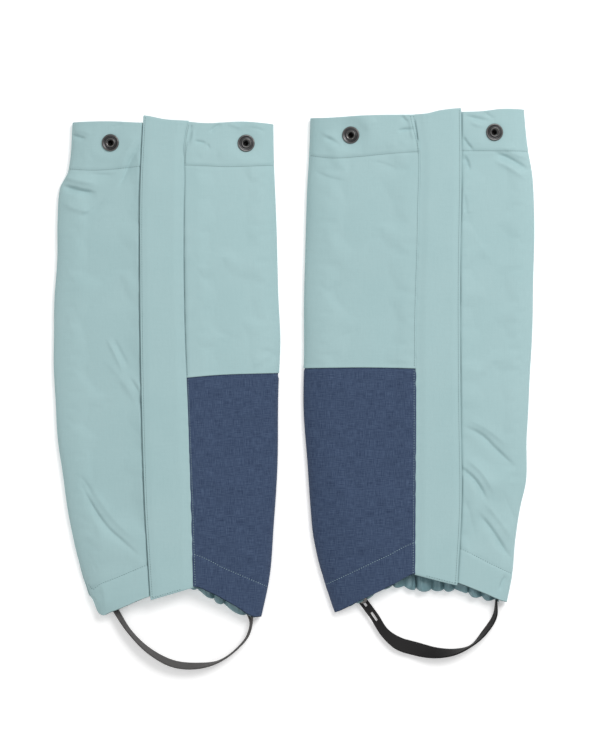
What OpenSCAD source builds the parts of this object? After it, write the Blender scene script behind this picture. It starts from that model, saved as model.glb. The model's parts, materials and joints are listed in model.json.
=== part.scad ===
// A pair of hiking gaiters, laid flat side by side with their front flaps up.
//
// Each gaiter has its own frame: x = 0 along the front zip, +x towards the inside of the
// leg, y = 0 at the instep point of the bottom hem, +y towards the knee, z = 0 on the floor.
// The right gaiter is that frame mirrored. Lists of two are [left, right]: the same tube of
// cloth, rolled a little differently before it was laid flat.

/* [Leg] */
// Height of the front, from the instep point to the knee hem
front_h = 395; // [340:1:430]
// Outer fold at the knee, measured from the zip
knee_outer = [82, 78]; // [70:1:95]
// Outer fold at the widest part of the calf
calf_outer = [104, 86]; // [80:1:110]
// Outer fold at the ankle
ankle_outer = [70, 64]; // [60:1:80]
// Inner fold at the knee
knee_inner = [87, 104]; // [80:1:110]
// Inner fold at the widest part of the calf
calf_inner = [89, 110]; // [80:1:115]
// Inner fold at the ankle
ankle_inner = [72, 85]; // [68:1:90]
// Height of the front over the floor as the gaiter lies flat
puff = 15; // [14:0.5:22]
// Thickness of one panel, shell cloth with its turnings
cloth_t = 0.8; // [0.6:0.1:1]
// Slope of the bottom hem on the outer side of the instep point
outer_slope = 0.3; // [0:0.02:0.4]
// Slope of the bottom hem on the inner side, along the ankle guard
guard_slope = 0.48; // [0:0.02:0.55]
// Slope of the knee hem, higher on the outer side
knee_slope = 0.02; // [0:0.01:0.05]
// Height of the ankle guard's top seam over the instep point
guard_h = 177; // [120:1:220]

/* [Flap and zip] */
// Distance of the flap's sewn edge from the zip
flap_seam_x = [10.5, 14.5]; // [10:0.5:16]
// Distance of the flap's free edge from the zip
flap_free_x = [27, 23]; // [22:0.5:28]
// How far the flap stands over the knee hem
flap_over = 3; // [0:0.5:6]
// Half the gap in the front that the zip closes
zip_gap = 6.5; // [6:0.5:8]
// Length of the zip chain
chain_l = 364; // [300:4:364]
// Distance from one zip tooth to the next
tooth_pitch = 4; // [3:0.5:5]
// Length of the zip's puller
puller_l = 20; // [16:1:24]

/* [Press studs] */
// Outer diameter of a press-stud socket
socket_d = 14.6; // [13:0.1:15]
// Diameter of the socket's mouth
mouth_d = 6.1; // [5.5:0.1:6.5]
// Depth of the sockets below the knee hem
socket_down = 19; // [16:0.5:24]
// Place of the outer press stud, from the zip
socket_outer_x = [51, 52]; // [48:0.5:56]
// Place of the inner press stud, from the zip
socket_inner_x = [64, 70]; // [60:0.5:74]

/* [Instep strap] */
// Width of the rubber strap
strap_w = 12; // [10:0.5:12]
// Thickness of the rubber strap
strap_t = 1.3; // [1:0.1:2]
// Outer pivot of the strap, [x, y]
pivot_outer = [-55, -26.5]; // [-60:1:-20]
// Inner pivot of the strap, [x, y]
pivot_inner = [60, -34]; // [-40:1:62]
// Sideways pull of the loop's outer half
lean_outer = [48, 20]; // [0:1:50]
// Sideways pull of the loop's inner half
lean_inner = [9, -7]; // [-12:1:12]
// Roll of the strap about its length at the outer pivot, 0 is on edge
roll_outer = [35, 5]; // [0:5:90]
// Roll of the strap at the inner pivot
roll_inner = [12, 85]; // [0:5:90]

/* [Layout] */
// Zip lines of the two gaiters, from the middle of the pair
zip_x = [-97.7, 118.9]; // [-130:0.1:140]
// Height of the instep points, from the middle of the pair
instep_y = [-166.1, -158.1]; // [-190:0.1:-140]
// Turn of the left gaiter on the floor, in degrees
left_turn = 1; // [0:0.5:2]

/* [Hidden] */
PIECES = [
    "outer_panel", "inner_panel", "ankle_guard", "back_panel", "heel_hem", "hem_elastic",
    "zip_tape_outer", "zip_tape_inner", "zip_teeth_outer", "zip_teeth_inner", "zip_top_stops",
    "zip_retainer_box", "zip_insert_pin", "zip_slider", "zip_puller", "loop_strip",
    "hook_strip", "flap_face", "flap_lining", "snap_sockets", "snap_springs", "snap_caps",
    "strap_button", "strap_rivet", "strap_ends", "instep_strap"];
SIDES = ["left_", "right_"];
$fn = 48;

teal = [0.63, 0.75, 0.76];
teal_dark = [0.5, 0.62, 0.63];
navy = [0.24, 0.31, 0.41];
rubber_black = [0.22, 0.22, 0.22];
gunmetal = [0.3, 0.3, 0.31];
steel = [0.7, 0.7, 0.72];

air = 0.2;                     // clearance between pieces that lie on each other
rows = 16;                     // stations down a panel
cols = 10;                     // stations across a panel
calf_at = 0.5;                 // the widest calf, as a share of the way down
corner_drop = 27;              // mean drop of the ankle corners below the instep
heel_drop = 10;                // drop of the heel's edge below the instep point
heel_slope = 0.2;              // and its slope to both sides
seam_inset = 1.5;              // the back is set in this far from the folds
fold_z = cloth_t + air;        // height of the side folds over the floor
instep_x = 12.5;               // the instep point, near the flap's seam
v_guard = (front_h - guard_h) / (front_h + corner_drop);

// Heights of the zip under the front opening
tape_t = 0.5;
tape_z = puff - cloth_t - 1.5 * air - tape_t;
tooth_t = 1.8;
tooth_z = tape_z + (tape_t - tooth_t) / 2;
slit = 0.35;                   // half the slit between the two rows of teeth
chain_y = 14;                  // lower end of the chain, over the instep
tooth_reach = 2.6;             // how far a tooth and its cord reach from the zip line

// Slider, puller and the flap over them
plate_t = 1;
plate_w = 8;
slider_l = 12;
slider_y = chain_y + chain_l - slider_l / 2 - 2;
web_w = 0.4;
plate_gap = 0.25;
plate_top_z = tooth_z + tooth_t + plate_gap;
crown_h = 1.8;
puller_t = 0.8;
puller_z = plate_top_z + plate_t + air;
lining_t = 0.5;
flap_z = plate_top_z + plate_t + crown_h + air;
flap_gap = 1.5;                // from the hinge line to the flap's own edge
strip_w = 13;
strip_t = 1;

// ---------------------------------------------------------------- the laid-out leg tube

function lerp(a, b, k) = a + (b - a) * k;

// Distance of a fold from the zip, v = 0 at the knee hem and 1 at the bottom hem
function fold(knee, calf, ankle, v) = v < calf_at
    ? calf - (calf - knee) * pow((calf_at - v) / calf_at, 2)
    : calf - (calf - ankle) * pow((v - calf_at) / (1 - calf_at), 2);
function fold_x(g, side, v) = side > 0
    ? fold(knee_inner[g], calf_inner[g], ankle_inner[g], v)
    : fold(knee_outer[g], calf_outer[g], ankle_outer[g], v);

// Lines across the front: the knee hem, the guard's top seam and the bottom hem
function knee_line(x) = front_h - knee_slope * x;
function instep_line(x) = x > instep_x
    ? -guard_slope * (x - instep_x)
    : -outer_slope * (instep_x - x);
function heel_line(x) = -heel_drop - heel_slope * abs(x - instep_x);

// Cross-section of the front: x = fold * sin^(2/3), z = rise * cos, flat near the zip
function across(f, angle) = f * pow(sin(angle), 2 / 3);
function angle_at(f, x) = asin(pow(x / f, 3 / 2));
function rise(angle, depth) = fold_z + (puff - depth - fold_z) * cos(angle);

// Point of the front skin: i stations down, j stations out from the zip
function skin_point(g, side, i, j, v0, v1, top_line, low_line, depth) = let (
    v = lerp(v0, v1, i / rows),
    f = fold_x(g, side, v),
    angle = lerp(angle_at(f, zip_gap), 90, j / cols),
    x = across(f, angle))
    [x * (1 - depth / f), lerp(top_line(side * x), low_line(side * x), i / rows), rise(angle, depth)];

function quad(a, b, c, d) = [[a, b, c], [a, c, d]];
function grid_id(i, j, layer) = (layer * (rows + 1) + i) * (cols + 1) + j;

// Triangles of a thin closed sheet whose two faces are grids
function sheet_faces() = [
    for (i = [0:rows - 1], j = [0:cols - 1])
        each quad(grid_id(i, j, 0), grid_id(i, j + 1, 0), grid_id(i + 1, j + 1, 0), grid_id(i + 1, j, 0)),
    for (i = [0:rows - 1], j = [0:cols - 1])
        each quad(grid_id(i, j, 1), grid_id(i + 1, j, 1), grid_id(i + 1, j + 1, 1), grid_id(i, j + 1, 1)),
    for (j = [0:cols - 1])
        each quad(grid_id(0, j + 1, 0), grid_id(0, j, 0), grid_id(0, j, 1), grid_id(0, j + 1, 1)),
    for (j = [0:cols - 1])
        each quad(grid_id(rows, j, 0), grid_id(rows, j + 1, 0), grid_id(rows, j + 1, 1), grid_id(rows, j, 1)),
    for (i = [0:rows - 1])
        each quad(grid_id(i, 0, 0), grid_id(i + 1, 0, 0), grid_id(i + 1, 0, 1), grid_id(i, 0, 1)),
    for (i = [0:rows - 1])
        each quad(
            grid_id(i + 1, cols, 0), grid_id(i, cols, 0),
            grid_id(i, cols, 1), grid_id(i + 1, cols, 1))];

// Front panel from the zip gap to a side fold; side is -1 for outer and 1 for inner
module skin(g, side, v0, v1, top_line, low_line) {
    mirror([side < 0 ? 1 : 0, 0, 0])
        polyhedron(
            points = [for (layer = [0, 1], i = [0:rows], j = [0:cols])
                skin_point(g, side, i, j, v0, v1, top_line, low_line, layer * cloth_t)],
            faces = sheet_faces());
}

// ------------------------------------------------------------------------- press studs

function socket_x(g, side) = side > 0 ? socket_inner_x[g] : socket_outer_x[g];
socket_r = socket_d / 2;
mouth_r = mouth_d / 2;
socket_h = 2.5;                // from the cloth to the lip of the mouth
bore_l = 1.1;                  // straight length of the mouth
socket_lift = 0.4;             // the socket stands this far over the curved cloth
sheet_t = 0.4;                 // thickness of the pressed metal
groove_r = mouth_r + 1.3;      // groove behind the mouth, where the spring lies
groove_z = 1;                  // top of that groove at its outer wall
post_r = 2.4;
post_wall = 0.6;
post_top = 0.35;               // the post reaches this far into the socket
post_hole_r = post_r + air;
cap_r = socket_r - 0.3;
cap_t = 0.8;
spring_wire_r = 0.2;
spring_mid_r = mouth_r + 0.8;
spring_z = 0.85;               // its height over the socket's foot
spring_turn = 320;             // the wire ring is open

// Puts its children on the front skin at a press stud, square to the cloth
module at_socket(g, side) {
    x = socket_x(g, side);
    y = knee_line(side * x) - socket_down;
    v = socket_down / (front_h + corner_drop);
    f = fold_x(g, side, v);
    angle = angle_at(f, x);
    step = 0.5;
    tilt = atan((rise(angle_at(f, x + step), 0) - rise(angle_at(f, x - step), 0)) / (2 * step));
    translate([side * x, y, rise(angle, 0)]) rotate([0, -side * tilt, 0]) children();
}

module both_sockets(g) {
    for (side = [-1, 1]) at_socket(g, side) children();
}

// Socket: a flat flange with a rolled rim, and a raised mouth for the stud
module socket_ring() {
    translate([0, 0, socket_lift]) rotate_extrude() polygon([
        [post_hole_r, 0],
        [socket_r - sheet_t, 0],
        [socket_r, sheet_t],
        [socket_r, 3 * sheet_t],
        [socket_r - 0.5, 4 * sheet_t],
        [socket_r - 1.3, 4 * sheet_t - 0.1],
        [groove_r + sheet_t, groove_z],
        [mouth_r + 1, socket_h - sheet_t],
        [mouth_r + 0.6, socket_h],
        [mouth_r, socket_h],
        [mouth_r, socket_h - bore_l],
        [groove_r, groove_z],
        [groove_r, sheet_t],
        [post_hole_r, sheet_t]]);
}

// Open wire ring that grips the mating stud, held in the socket's inner groove
module spring_ring() {
    translate([0, 0, socket_lift + spring_z])
        rotate([0, 0, (360 - spring_turn) / 2]) rotate_extrude(angle = spring_turn)
            translate([spring_mid_r, 0]) circle(spring_wire_r);
}

// Cap behind the cloth, with the hollow post that holds the socket on
module cap() {
    post_h = cap_t + cloth_t + 2 * socket_lift + post_top;
    translate([0, 0, -cloth_t - socket_lift - cap_t]) difference() {
        union() {
            cylinder(r = cap_r, h = cap_t);
            cylinder(r = post_r, h = post_h);
        }
        translate([0, 0, cap_t / 2]) cylinder(r = post_r - post_wall, h = post_h);
    }
}

module post_hole(g, side) {
    at_socket(g, side) cylinder(r = post_hole_r, h = 10 * cloth_t, center = true);
}

module snap_sockets(g) { color(gunmetal) both_sockets(g) socket_ring(); }
module snap_springs(g) { color(steel) both_sockets(g) spring_ring(); }
module snap_caps(g) { color(gunmetal) both_sockets(g) cap(); }

// ------------------------------------------------------------------------------ panels

module outer_panel(g) {
    color(teal) difference() {
        skin(g, -1, 0, 1, function (x) knee_line(x), function (x) instep_line(x));
        post_hole(g, -1);
    }
}

module inner_panel(g) {
    color(teal) difference() {
        skin(g, 1, 0, v_guard, function (x) knee_line(x), function (x) guard_h + air);
        post_hole(g, 1);
    }
}

module ankle_guard(g) {
    color(navy) skin(g, 1, v_guard, 1, function (x) guard_h, function (x) instep_line(x));
}

// Flat back of the tube, set in from the folds, where the side seams are
module back_panel(g) {
    function corner(side, v) = let (x = side * (fold_x(g, side, v) - seam_inset))
        [x, lerp(knee_line(x), heel_line(x), v)];
    color(teal) linear_extrude(cloth_t) polygon([
        for (i = [0:rows]) corner(1, i / rows),
        [instep_x, heel_line(instep_x)],
        for (i = [rows:-1:0]) corner(-1, i / rows)]);
}

// Band along the heel line, from low to high of it, between two places across
module heel_band(x_from, x_to, low, high) {
    stops = [x_to, instep_x, x_from];
    polygon(concat(
        [for (x = stops) [x, heel_line(x) + low]],
        [for (k = [2:-1:0]) [stops[k], heel_line(stops[k]) + high]]));
}

hem_x = [-48, 50];             // the casing's ends
hem_y = [-5, 9];               // its edges, from the heel line
hem_t = 2.4;
hem_wall = 0.6;
elastic_inset = 2.5;           // the elastic's edges lie this far inside the casing's

// Casing of the gathered heel, open at both ends for its elastic
module heel_hem() {
    color(teal_dark) translate([0, 0, fold_z]) difference() {
        linear_extrude(hem_t) heel_band(hem_x[0], hem_x[1], hem_y[0], hem_y[1]);
        translate([0, 0, hem_wall]) linear_extrude(hem_t - 2 * hem_wall)
            heel_band(hem_x[0] - 1, hem_x[1] + 1, hem_y[0] + 2, hem_y[1] - 2);
    }
}

module hem_elastic() {
    color("white") translate([0, 0, fold_z + hem_wall + air]) linear_extrude(hem_t - 2 * (hem_wall + air))
        heel_band(hem_x[0] + 2, hem_x[1] - 2, hem_y[0] + elastic_inset, hem_y[1] - elastic_inset);
}

// --------------------------------------------------------------------------------- zip

tape_w = 13;
tape_low = 4;                  // lower end of the tapes, over the instep
tape_over = 5;                 // and how far they run past the chain's top

module zip_tape(side) {
    from = side > 0 ? tooth_reach + 0.1 : -tooth_reach - 0.1 - tape_w;
    length = chain_y + chain_l + tape_over - tape_low;
    color(teal_dark) translate([from, tape_low, tape_z]) cube([tape_w, length, tape_t]);
}

// One row of moulded teeth on its cord; the inner row sits half a pitch lower
module zip_teeth(side) {
    cord_x = 1.7;
    count = floor(chain_l / tooth_pitch);
    flank = tooth_pitch / 8;
    root = tooth_pitch / 2;
    start = chain_y + (side > 0 ? 0 : tooth_pitch / 2);
    end = start + count * tooth_pitch - 2 * flank;
    color(teal_dark) mirror([side > 0 ? 0 : 1, 0, 0]) translate([0, 0, tooth_z]) linear_extrude(tooth_t)
        polygon(concat(
            [[tooth_reach, start]],
            [for (k = [0:count - 1]) let (y = start + k * tooth_pitch) each
                [[cord_x, y], [slit, y + flank], [slit, y + root - flank], [cord_x, y + root]]],
            [[cord_x, end], [tooth_reach, end]]));
}

module zip_top_stops() {
    stop = [2.2, 3, tooth_t];
    middle_x = slit + stop[0] / 2 + 0.05;
    color(teal_dark) for (side = [-1, 1])
        translate([side * middle_x - stop[0] / 2, chain_y + chain_l + 2, tooth_z]) cube(stop);
}

box_l = 8;
box_wall = 0.3;
box_y = tape_low + 0.5;
pin = [1.4, 6.8, tooth_t - 2 * air];

// Box at the foot of the zip, with a slot for the pin
module zip_retainer_box() {
    slot_x = air;
    slot_w = pin[0] + 2 * air;
    color(teal_dark) translate([-tooth_reach, box_y, tooth_z - box_wall]) difference() {
        cube([2 * tooth_reach, box_l, tooth_t + 2 * box_wall]);
        translate([tooth_reach + slot_x, 1.5, box_wall]) cube([slot_w, box_l, tooth_t]);
    }
}

module zip_insert_pin() {
    color(teal_dark) translate([2 * air, box_y + 1.5 + 1.5 * air, tooth_z + air]) cube(pin);
}

crown_w = 3;
crown_l = 6;
crown_leg = 1.1;
crown_bar = 0.6;
crown_top = plate_top_z + plate_t + crown_h;

// Slider: two plates joined by a thin web that runs in the slit, with a crown for the puller
module zip_slider() {
    low_z = tooth_z - plate_gap - plate_t;
    flange_x = tooth_reach + plate_gap;
    flange_z = tape_z + tape_t + 0.15;
    color(gunmetal) translate([0, slider_y, 0]) {
        translate([-plate_w / 2, -slider_l / 2, plate_top_z]) cube([plate_w, slider_l, plate_t]);
        translate([-plate_w / 2, -slider_l / 2, low_z]) cube([plate_w, slider_l, plate_t]);
        translate([-web_w / 2, -slider_l / 2 + 1, low_z])
            cube([web_w, slider_l - 2, plate_top_z - low_z + 0.1]);
        for (side = [-1, 1]) translate([side > 0 ? flange_x : -plate_w / 2, -slider_l / 2, flange_z])
            cube([plate_w / 2 - flange_x, slider_l, plate_top_z + 0.15 - flange_z]);
        for (y = [-crown_l / 2, crown_l / 2 - crown_leg]) translate([-crown_w / 2, y, plate_top_z])
            cube([crown_w, crown_leg, plate_t + crown_h]);
        translate([-crown_w / 2, -crown_l / 2, crown_top - crown_bar]) cube([crown_w, crown_l, crown_bar]);
    }
}

// Puller: a tongue with an eye, whose round bar turns under the crown
module zip_puller() {
    eye_w = 6.4;
    eye_l = 5;
    eye_hole_l = 4.2;
    tongue_r = 2.5;
    side_gap = 0.4;
    color(gunmetal) translate([0, slider_y, puller_z]) {
        linear_extrude(puller_t) difference() {
            union() {
                translate([-eye_w / 2, -eye_l]) square([eye_w, eye_l]);
                translate([-tongue_r, tongue_r - puller_l]) square([2 * tongue_r, puller_l - 2 * tongue_r]);
                translate([0, tongue_r - puller_l]) circle(tongue_r);
            }
            translate([-crown_w / 2 - side_gap, -eye_hole_l])
                square([crown_w + 2 * side_gap, eye_hole_l + 1]);
        }
        translate([-eye_w / 2, 0, puller_t / 2]) rotate([0, 90, 0]) cylinder(r = puller_t / 2, h = eye_w);
    }
}

// -------------------------------------------------------------------------------- flap

flap_y = 1;

module flap_plate(g, z, t, inset) {
    left = -flap_free_x[g] + inset;
    right = flap_seam_x[g] - flap_gap;
    color(teal) translate([0, 0, z]) linear_extrude(t) polygon([
        [left, instep_line(left) - flap_y + inset],
        [right, instep_line(right) - flap_y + inset],
        [right, knee_line(right) + flap_y - inset],
        [left, knee_line(left) + flap_over - inset]]);
}

module flap_lining(g) { flap_plate(g, flap_z, lining_t, 1); }
module flap_face(g) { flap_plate(g, flap_z + lining_t + air / 2, cloth_t, 0); }

module strip(g, z, t) {
    color(teal_dark) translate([-flap_free_x[g] + 1.5, chain_y, z]) cube([strip_w, chain_l - 6, t]);
}

module loop_strip(g) { strip(g, puff + 0.05, strip_t); }
module hook_strip(g) { strip(g, puff + 0.05 + strip_t + air, flap_z - puff - strip_t - air - 0.1); }

// ------------------------------------------------------------------------ instep strap

strap_z = 6.3;
loop_n = 40;                    // stations along the loop
slots_at = [0.87, 0.96];        // button slots, as shares of the loop
slot = [8.5, 3];
drop_outer = 83;                // how far the loop's outer half is pulled down
drop_inner = 23;                // and its inner half
end_z = 3.2;                    // the strap's ends, held under the hem
end_l = 14;
end_gap = 6;                    // from the pivot line to a strap end
anchor_y = 8;                   // from the near edge of a strap end to its fastener
shank_r = 1.5;
shank_hole = 2 * (shank_r + 1.5 * air);

function loop_point(g, k) = let (
    a = pivot_outer,
    b = pivot_outer + [lean_outer[g], -drop_outer],
    c = pivot_inner + [lean_inner[g], -drop_inner],
    d = pivot_inner,
    n = 1 - k)
    n * n * n * a + 3 * n * n * k * b + 3 * n * k * k * c + k * k * k * d;

// Corner of the strap's section at station k: across = -1 or 1 over its width, in = -1 or 1
function strap_corner(g, k, over, through) = let (
    step = 0.01,
    p = loop_point(g, k),
    along = loop_point(g, min(1, k + step)) - loop_point(g, max(0, k - step)),
    side = [along[1], -along[0]] / norm(along),
    roll = lerp(roll_outer[g], roll_inner[g], k),
    u = over * strap_w / 2,
    w = through * strap_t / 2,
    flat = u * sin(roll) + w * cos(roll))
    [p[0] + side[0] * flat, p[1] + side[1] * flat, strap_z + u * cos(roll) - w * sin(roll)];

section = [[-1, -1], [1, -1], [1, 1], [-1, 1]];

module slot_cut(g, k) {
    p = loop_point(g, k);
    along = loop_point(g, k) - loop_point(g, k - 0.02);
    translate([p[0], p[1], strap_z]) rotate([0, 0, atan2(along[1], along[0])])
        rotate([roll_inner[g] - 90, 0, 0]) cube([slot[0], slot[1], 4 * strap_t], center = true);
}

module instep_strap(g) {
    color(rubber_black) difference() {
        polyhedron(
            points = [for (i = [0:loop_n], c = section) strap_corner(g, i / loop_n, c[0], c[1])],
            faces = concat(
                quad(0, 1, 2, 3),
                quad(4 * loop_n + 3, 4 * loop_n + 2, 4 * loop_n + 1, 4 * loop_n),
                [for (i = [0:loop_n - 1], c = [0:3]) let (n = (c + 1) % 4)
                    each quad(4 * i + c, 4 * i + 4 + c, 4 * i + 4 + n, 4 * i + n)]));
        for (k = slots_at) slot_cut(g, k);
    }
}

// Where a strap end starts, just inside the hem from its pivot
module at_end(pivot) {
    translate([pivot[0], pivot[1] + end_gap, 0]) children();
}

module end_plate(hole_w, hole_l) {
    translate([-strap_w / 2, 0, end_z]) difference() {
        cube([strap_w, end_l, strap_t]);
        translate([(strap_w - hole_w) / 2, anchor_y - hole_l / 2, -1]) cube([hole_w, hole_l, strap_t + 2]);
    }
}

module strap_ends() {
    color(rubber_black) {
        at_end(pivot_outer) end_plate(shank_hole, shank_hole);
        at_end(pivot_inner) end_plate(shank_hole, slot[0]);
    }
}

// Stud with a head under the strap end and a base over it, sewn or riveted to the hem
module stud(base_r, head_r) {
    base_t = 0.7;
    head_t = 1;
    head_z = end_z - air - head_t;
    base_z = end_z + strap_t + air;
    translate([0, anchor_y, 0]) {
        translate([0, 0, base_z]) cylinder(r = base_r, h = base_t);
        translate([0, 0, head_z]) cylinder(r = shank_r, h = base_z + base_t - head_z);
        translate([0, 0, head_z]) cylinder(r = head_r, h = head_t);
    }
}

module strap_button() { color(gunmetal) at_end(pivot_inner) stud(4, 4); }
module strap_rivet() { color(gunmetal) at_end(pivot_outer) stud(4.5, 3.5); }

// -------------------------------------------------------------------------------- pair

// Puts a gaiter's own frame into the pair: 0 is the left gaiter, 1 the right one
module place(g) {
    translate([zip_x[g], instep_y[g], 0])
        rotate([0, 0, g == 0 ? left_turn : 0]) mirror([g, 0, 0]) children();
}

module piece(g, name) {
    if (name == "outer_panel") outer_panel(g);
    if (name == "inner_panel") inner_panel(g);
    if (name == "ankle_guard") ankle_guard(g);
    if (name == "back_panel") back_panel(g);
    if (name == "heel_hem") heel_hem();
    if (name == "hem_elastic") hem_elastic();
    if (name == "zip_tape_outer") zip_tape(-1);
    if (name == "zip_tape_inner") zip_tape(1);
    if (name == "zip_teeth_outer") zip_teeth(-1);
    if (name == "zip_teeth_inner") zip_teeth(1);
    if (name == "zip_top_stops") zip_top_stops();
    if (name == "zip_retainer_box") zip_retainer_box();
    if (name == "zip_insert_pin") zip_insert_pin();
    if (name == "zip_slider") zip_slider();
    if (name == "zip_puller") zip_puller();
    if (name == "loop_strip") loop_strip(g);
    if (name == "hook_strip") hook_strip(g);
    if (name == "flap_face") flap_face(g);
    if (name == "flap_lining") flap_lining(g);
    if (name == "snap_sockets") snap_sockets(g);
    if (name == "snap_springs") snap_springs(g);
    if (name == "snap_caps") snap_caps(g);
    if (name == "strap_button") strap_button();
    if (name == "strap_rivet") strap_rivet();
    if (name == "strap_ends") strap_ends();
    if (name == "instep_strap") instep_strap(g);
}

for (g = [0, 1], name = PIECES)
    place(g) piece(g, name);
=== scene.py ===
"""A pair of hiking gaiters, laid flat: the visual model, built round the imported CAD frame.

Each gaiter has its own frame in millimetres, as in the CAD: x from the zip towards the inside
of the leg, y up the leg from the instep point, z up from the floor. The cloth is a tube that is
kept as one table of points. A row of the table is a station down the leg. Its place round the
tube is q: 0 at the zip, 1 at the inner fold, -1 at the outer fold and 2 (or -2) at the middle
of the back. Panels, seams and stitches are all read from that table.
"""
import json
import math

import bmesh
import bpy
import numpy as np
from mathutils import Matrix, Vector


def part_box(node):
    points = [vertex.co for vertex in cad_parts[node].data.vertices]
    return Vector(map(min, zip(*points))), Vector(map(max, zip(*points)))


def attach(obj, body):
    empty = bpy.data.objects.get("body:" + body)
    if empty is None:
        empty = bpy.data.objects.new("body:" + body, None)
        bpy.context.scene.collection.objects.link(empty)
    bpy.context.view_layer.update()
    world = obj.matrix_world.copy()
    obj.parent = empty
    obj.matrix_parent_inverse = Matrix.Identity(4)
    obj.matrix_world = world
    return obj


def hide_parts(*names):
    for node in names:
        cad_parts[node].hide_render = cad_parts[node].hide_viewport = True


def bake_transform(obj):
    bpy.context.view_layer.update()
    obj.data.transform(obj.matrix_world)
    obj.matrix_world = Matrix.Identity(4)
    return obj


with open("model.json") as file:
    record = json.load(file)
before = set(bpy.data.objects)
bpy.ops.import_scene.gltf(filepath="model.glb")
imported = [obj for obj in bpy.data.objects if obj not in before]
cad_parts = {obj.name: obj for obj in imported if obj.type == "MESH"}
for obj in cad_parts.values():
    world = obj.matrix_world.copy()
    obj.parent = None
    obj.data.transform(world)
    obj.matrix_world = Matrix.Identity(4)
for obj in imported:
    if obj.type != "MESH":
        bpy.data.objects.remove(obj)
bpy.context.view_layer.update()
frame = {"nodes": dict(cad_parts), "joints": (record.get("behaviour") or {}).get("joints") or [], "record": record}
MM = 0.001
SIDES = ("left", "right")
JOINTS = {joint["name"]: joint for joint in frame["joints"]}
MOUNTS = {mount["name"]: mount for mount in frame["record"]["mounts"]}


# ------------------------------------------------------------------------------ helpers

def smooth(points, at):
    """Smooth curve through (place, value) points, read at one place or many."""
    x, y = np.array(sorted(points), float).T
    slope = np.gradient(y, x)
    at = np.clip(np.asarray(at, float), x[0], x[-1])
    k = np.clip(np.searchsorted(x, at) - 1, 0, len(x) - 2)
    gap = x[k + 1] - x[k]
    t = (at - x[k]) / gap
    start = y[k] * (1 + 2 * t) * (1 - t) ** 2 + gap * slope[k] * t * (1 - t) ** 2
    return start + y[k + 1] * t * t * (3 - 2 * t) - gap * slope[k + 1] * t * t * (1 - t)


def step(low, high, at):
    """0 before low, 1 after high, and a smooth rise between them."""
    t = np.clip((np.asarray(at, float) - low) / (high - low), 0, 1)
    return t * t * (3 - 2 * t)


def bump(at, middle, width):
    """Bell of height 1 round middle."""
    return np.exp(-((np.asarray(at, float) - middle) / width) ** 2)


def ripple(at, length, seed):
    """Irregular wave of about unit height and the given wavelength, the same on each run."""
    draw = np.random.default_rng(seed)
    total = np.zeros_like(np.asarray(at, float))
    waves = 5
    for _ in range(waves):
        pitch = length * draw.uniform(0.6, 1.6)
        total += np.sin(2 * np.pi * np.asarray(at) / pitch + draw.uniform(0, 2 * np.pi))
    return total / math.sqrt(waves)


def sample(grid, row, column):
    """Catmull-Rom reading of grid[row, column] at fractional rows and columns."""
    def taps(at, count):
        first = np.clip(np.floor(at).astype(int), 0, count - 2)
        f = at - first
        index = np.clip(first[..., None] + np.arange(-1, 3), 0, count - 1)
        weight = np.stack([-f + 2 * f ** 2 - f ** 3, 2 - 5 * f ** 2 + 3 * f ** 3,
                           f + 4 * f ** 2 - 3 * f ** 3, f ** 3 - f ** 2], -1) / 2
        return index, weight

    row, column = np.broadcast_arrays(np.asarray(row, float), np.asarray(column, float))
    row_at, row_weight = taps(row, grid.shape[0])
    column_at, column_weight = taps(column, grid.shape[1])
    total = 0
    for m in range(4):
        for n in range(4):
            weight = row_weight[..., m] * column_weight[..., n]
            total = total + grid[row_at[..., m], column_at[..., n]] * weight[..., None]
    return total


def unit(v):
    """Vectors scaled to length 1."""
    return v / np.maximum(np.linalg.norm(v, axis=-1, keepdims=True), 1e-9)


# ------------------------------------------------------------------- shapes of the two legs
# Lines up the leg are (y, distance from the zip) and lines across it are (x, y), all in mm.

OUTER_FOLD = {
    "left": [(395, 83.8), (362, 86.4), (352, 88.8), (341, 95), (333, 96.4), (315, 97.2), (261, 100.3),
             (185, 103.2), (108, 98.7), (57, 92), (10, 80.9), (-24, 68.7)],
    "right": [(396, 77.6), (362, 81), (341, 84.9), (281, 86.1), (209, 84.7), (121, 80.2), (76, 78.6),
              (62, 75.2), (31, 70.6), (2, 67.6), (-23, 63)]}
INNER_FOLD = {
    "left": [(391, 87.6), (350, 87.6), (300, 88.7), (245, 89.2), (203, 90), (190, 89.3), (176, 88.4),
             (115, 86.5), (54, 82.3), (7, 78), (-30, 69.5)],
    "right": [(390, 104.6), (359, 105.2), (325, 107.1), (281, 108.6), (209, 109.7), (136, 109.6),
              (64, 104.4), (28, 100.6), (-4, 93), (-32, 83.4)]}
FLAP_SEAM = {
    "left": [(396, 15.9), (383, 12.7), (340, 10.6), (286, 9.1), (200, 9.1), (170, 9.9), (82, 11.6),
             (-2, 12.8)],
    "right": [(392, 15.6), (369, 12.1), (311, 12), (209, 14.6), (136, 14.6), (1, 15.5)]}
FLAP_EDGE = {
    "left": [(400, -22.2), (340, -25.9), (270, -27.4), (150, -27.9), (74, -26.9), (-12, -23.4)],
    "right": [(397, -23.3), (362, -23.7), (250, -22.4), (136, -22.9), (65, -23.7), (-8, -20)]}
KNEE_EDGE = {
    "left": [(-88, 395.3), (-50, 395.0), (-24, 393.3), (10, 393.9), (28, 392), (63, 392.8), (92, 390.3)],
    "right": [(-84, 396.6), (-58, 396.8), (-40, 394.6), (-25, 394), (5, 392), (59, 391), (92, 389.2),
              (112, 389.6)]}
FRONT_HEM = {
    "left": [(-77, -12), (-71, -20), (-65, -25), (-57, -22.5), (-24, -9.6), (0, -4), (13, -2), (28, -8),
             (47, -18.8), (65, -29.4), (72, -29), (84, -26)],
    "right": [(-76, -24), (-63, -23.5), (-43, -15.6), (-22, -7.3), (0, -1.5), (15, 1), (36, -9.2),
              (60, -21), (83, -32.4), (100, -37)]}
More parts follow.
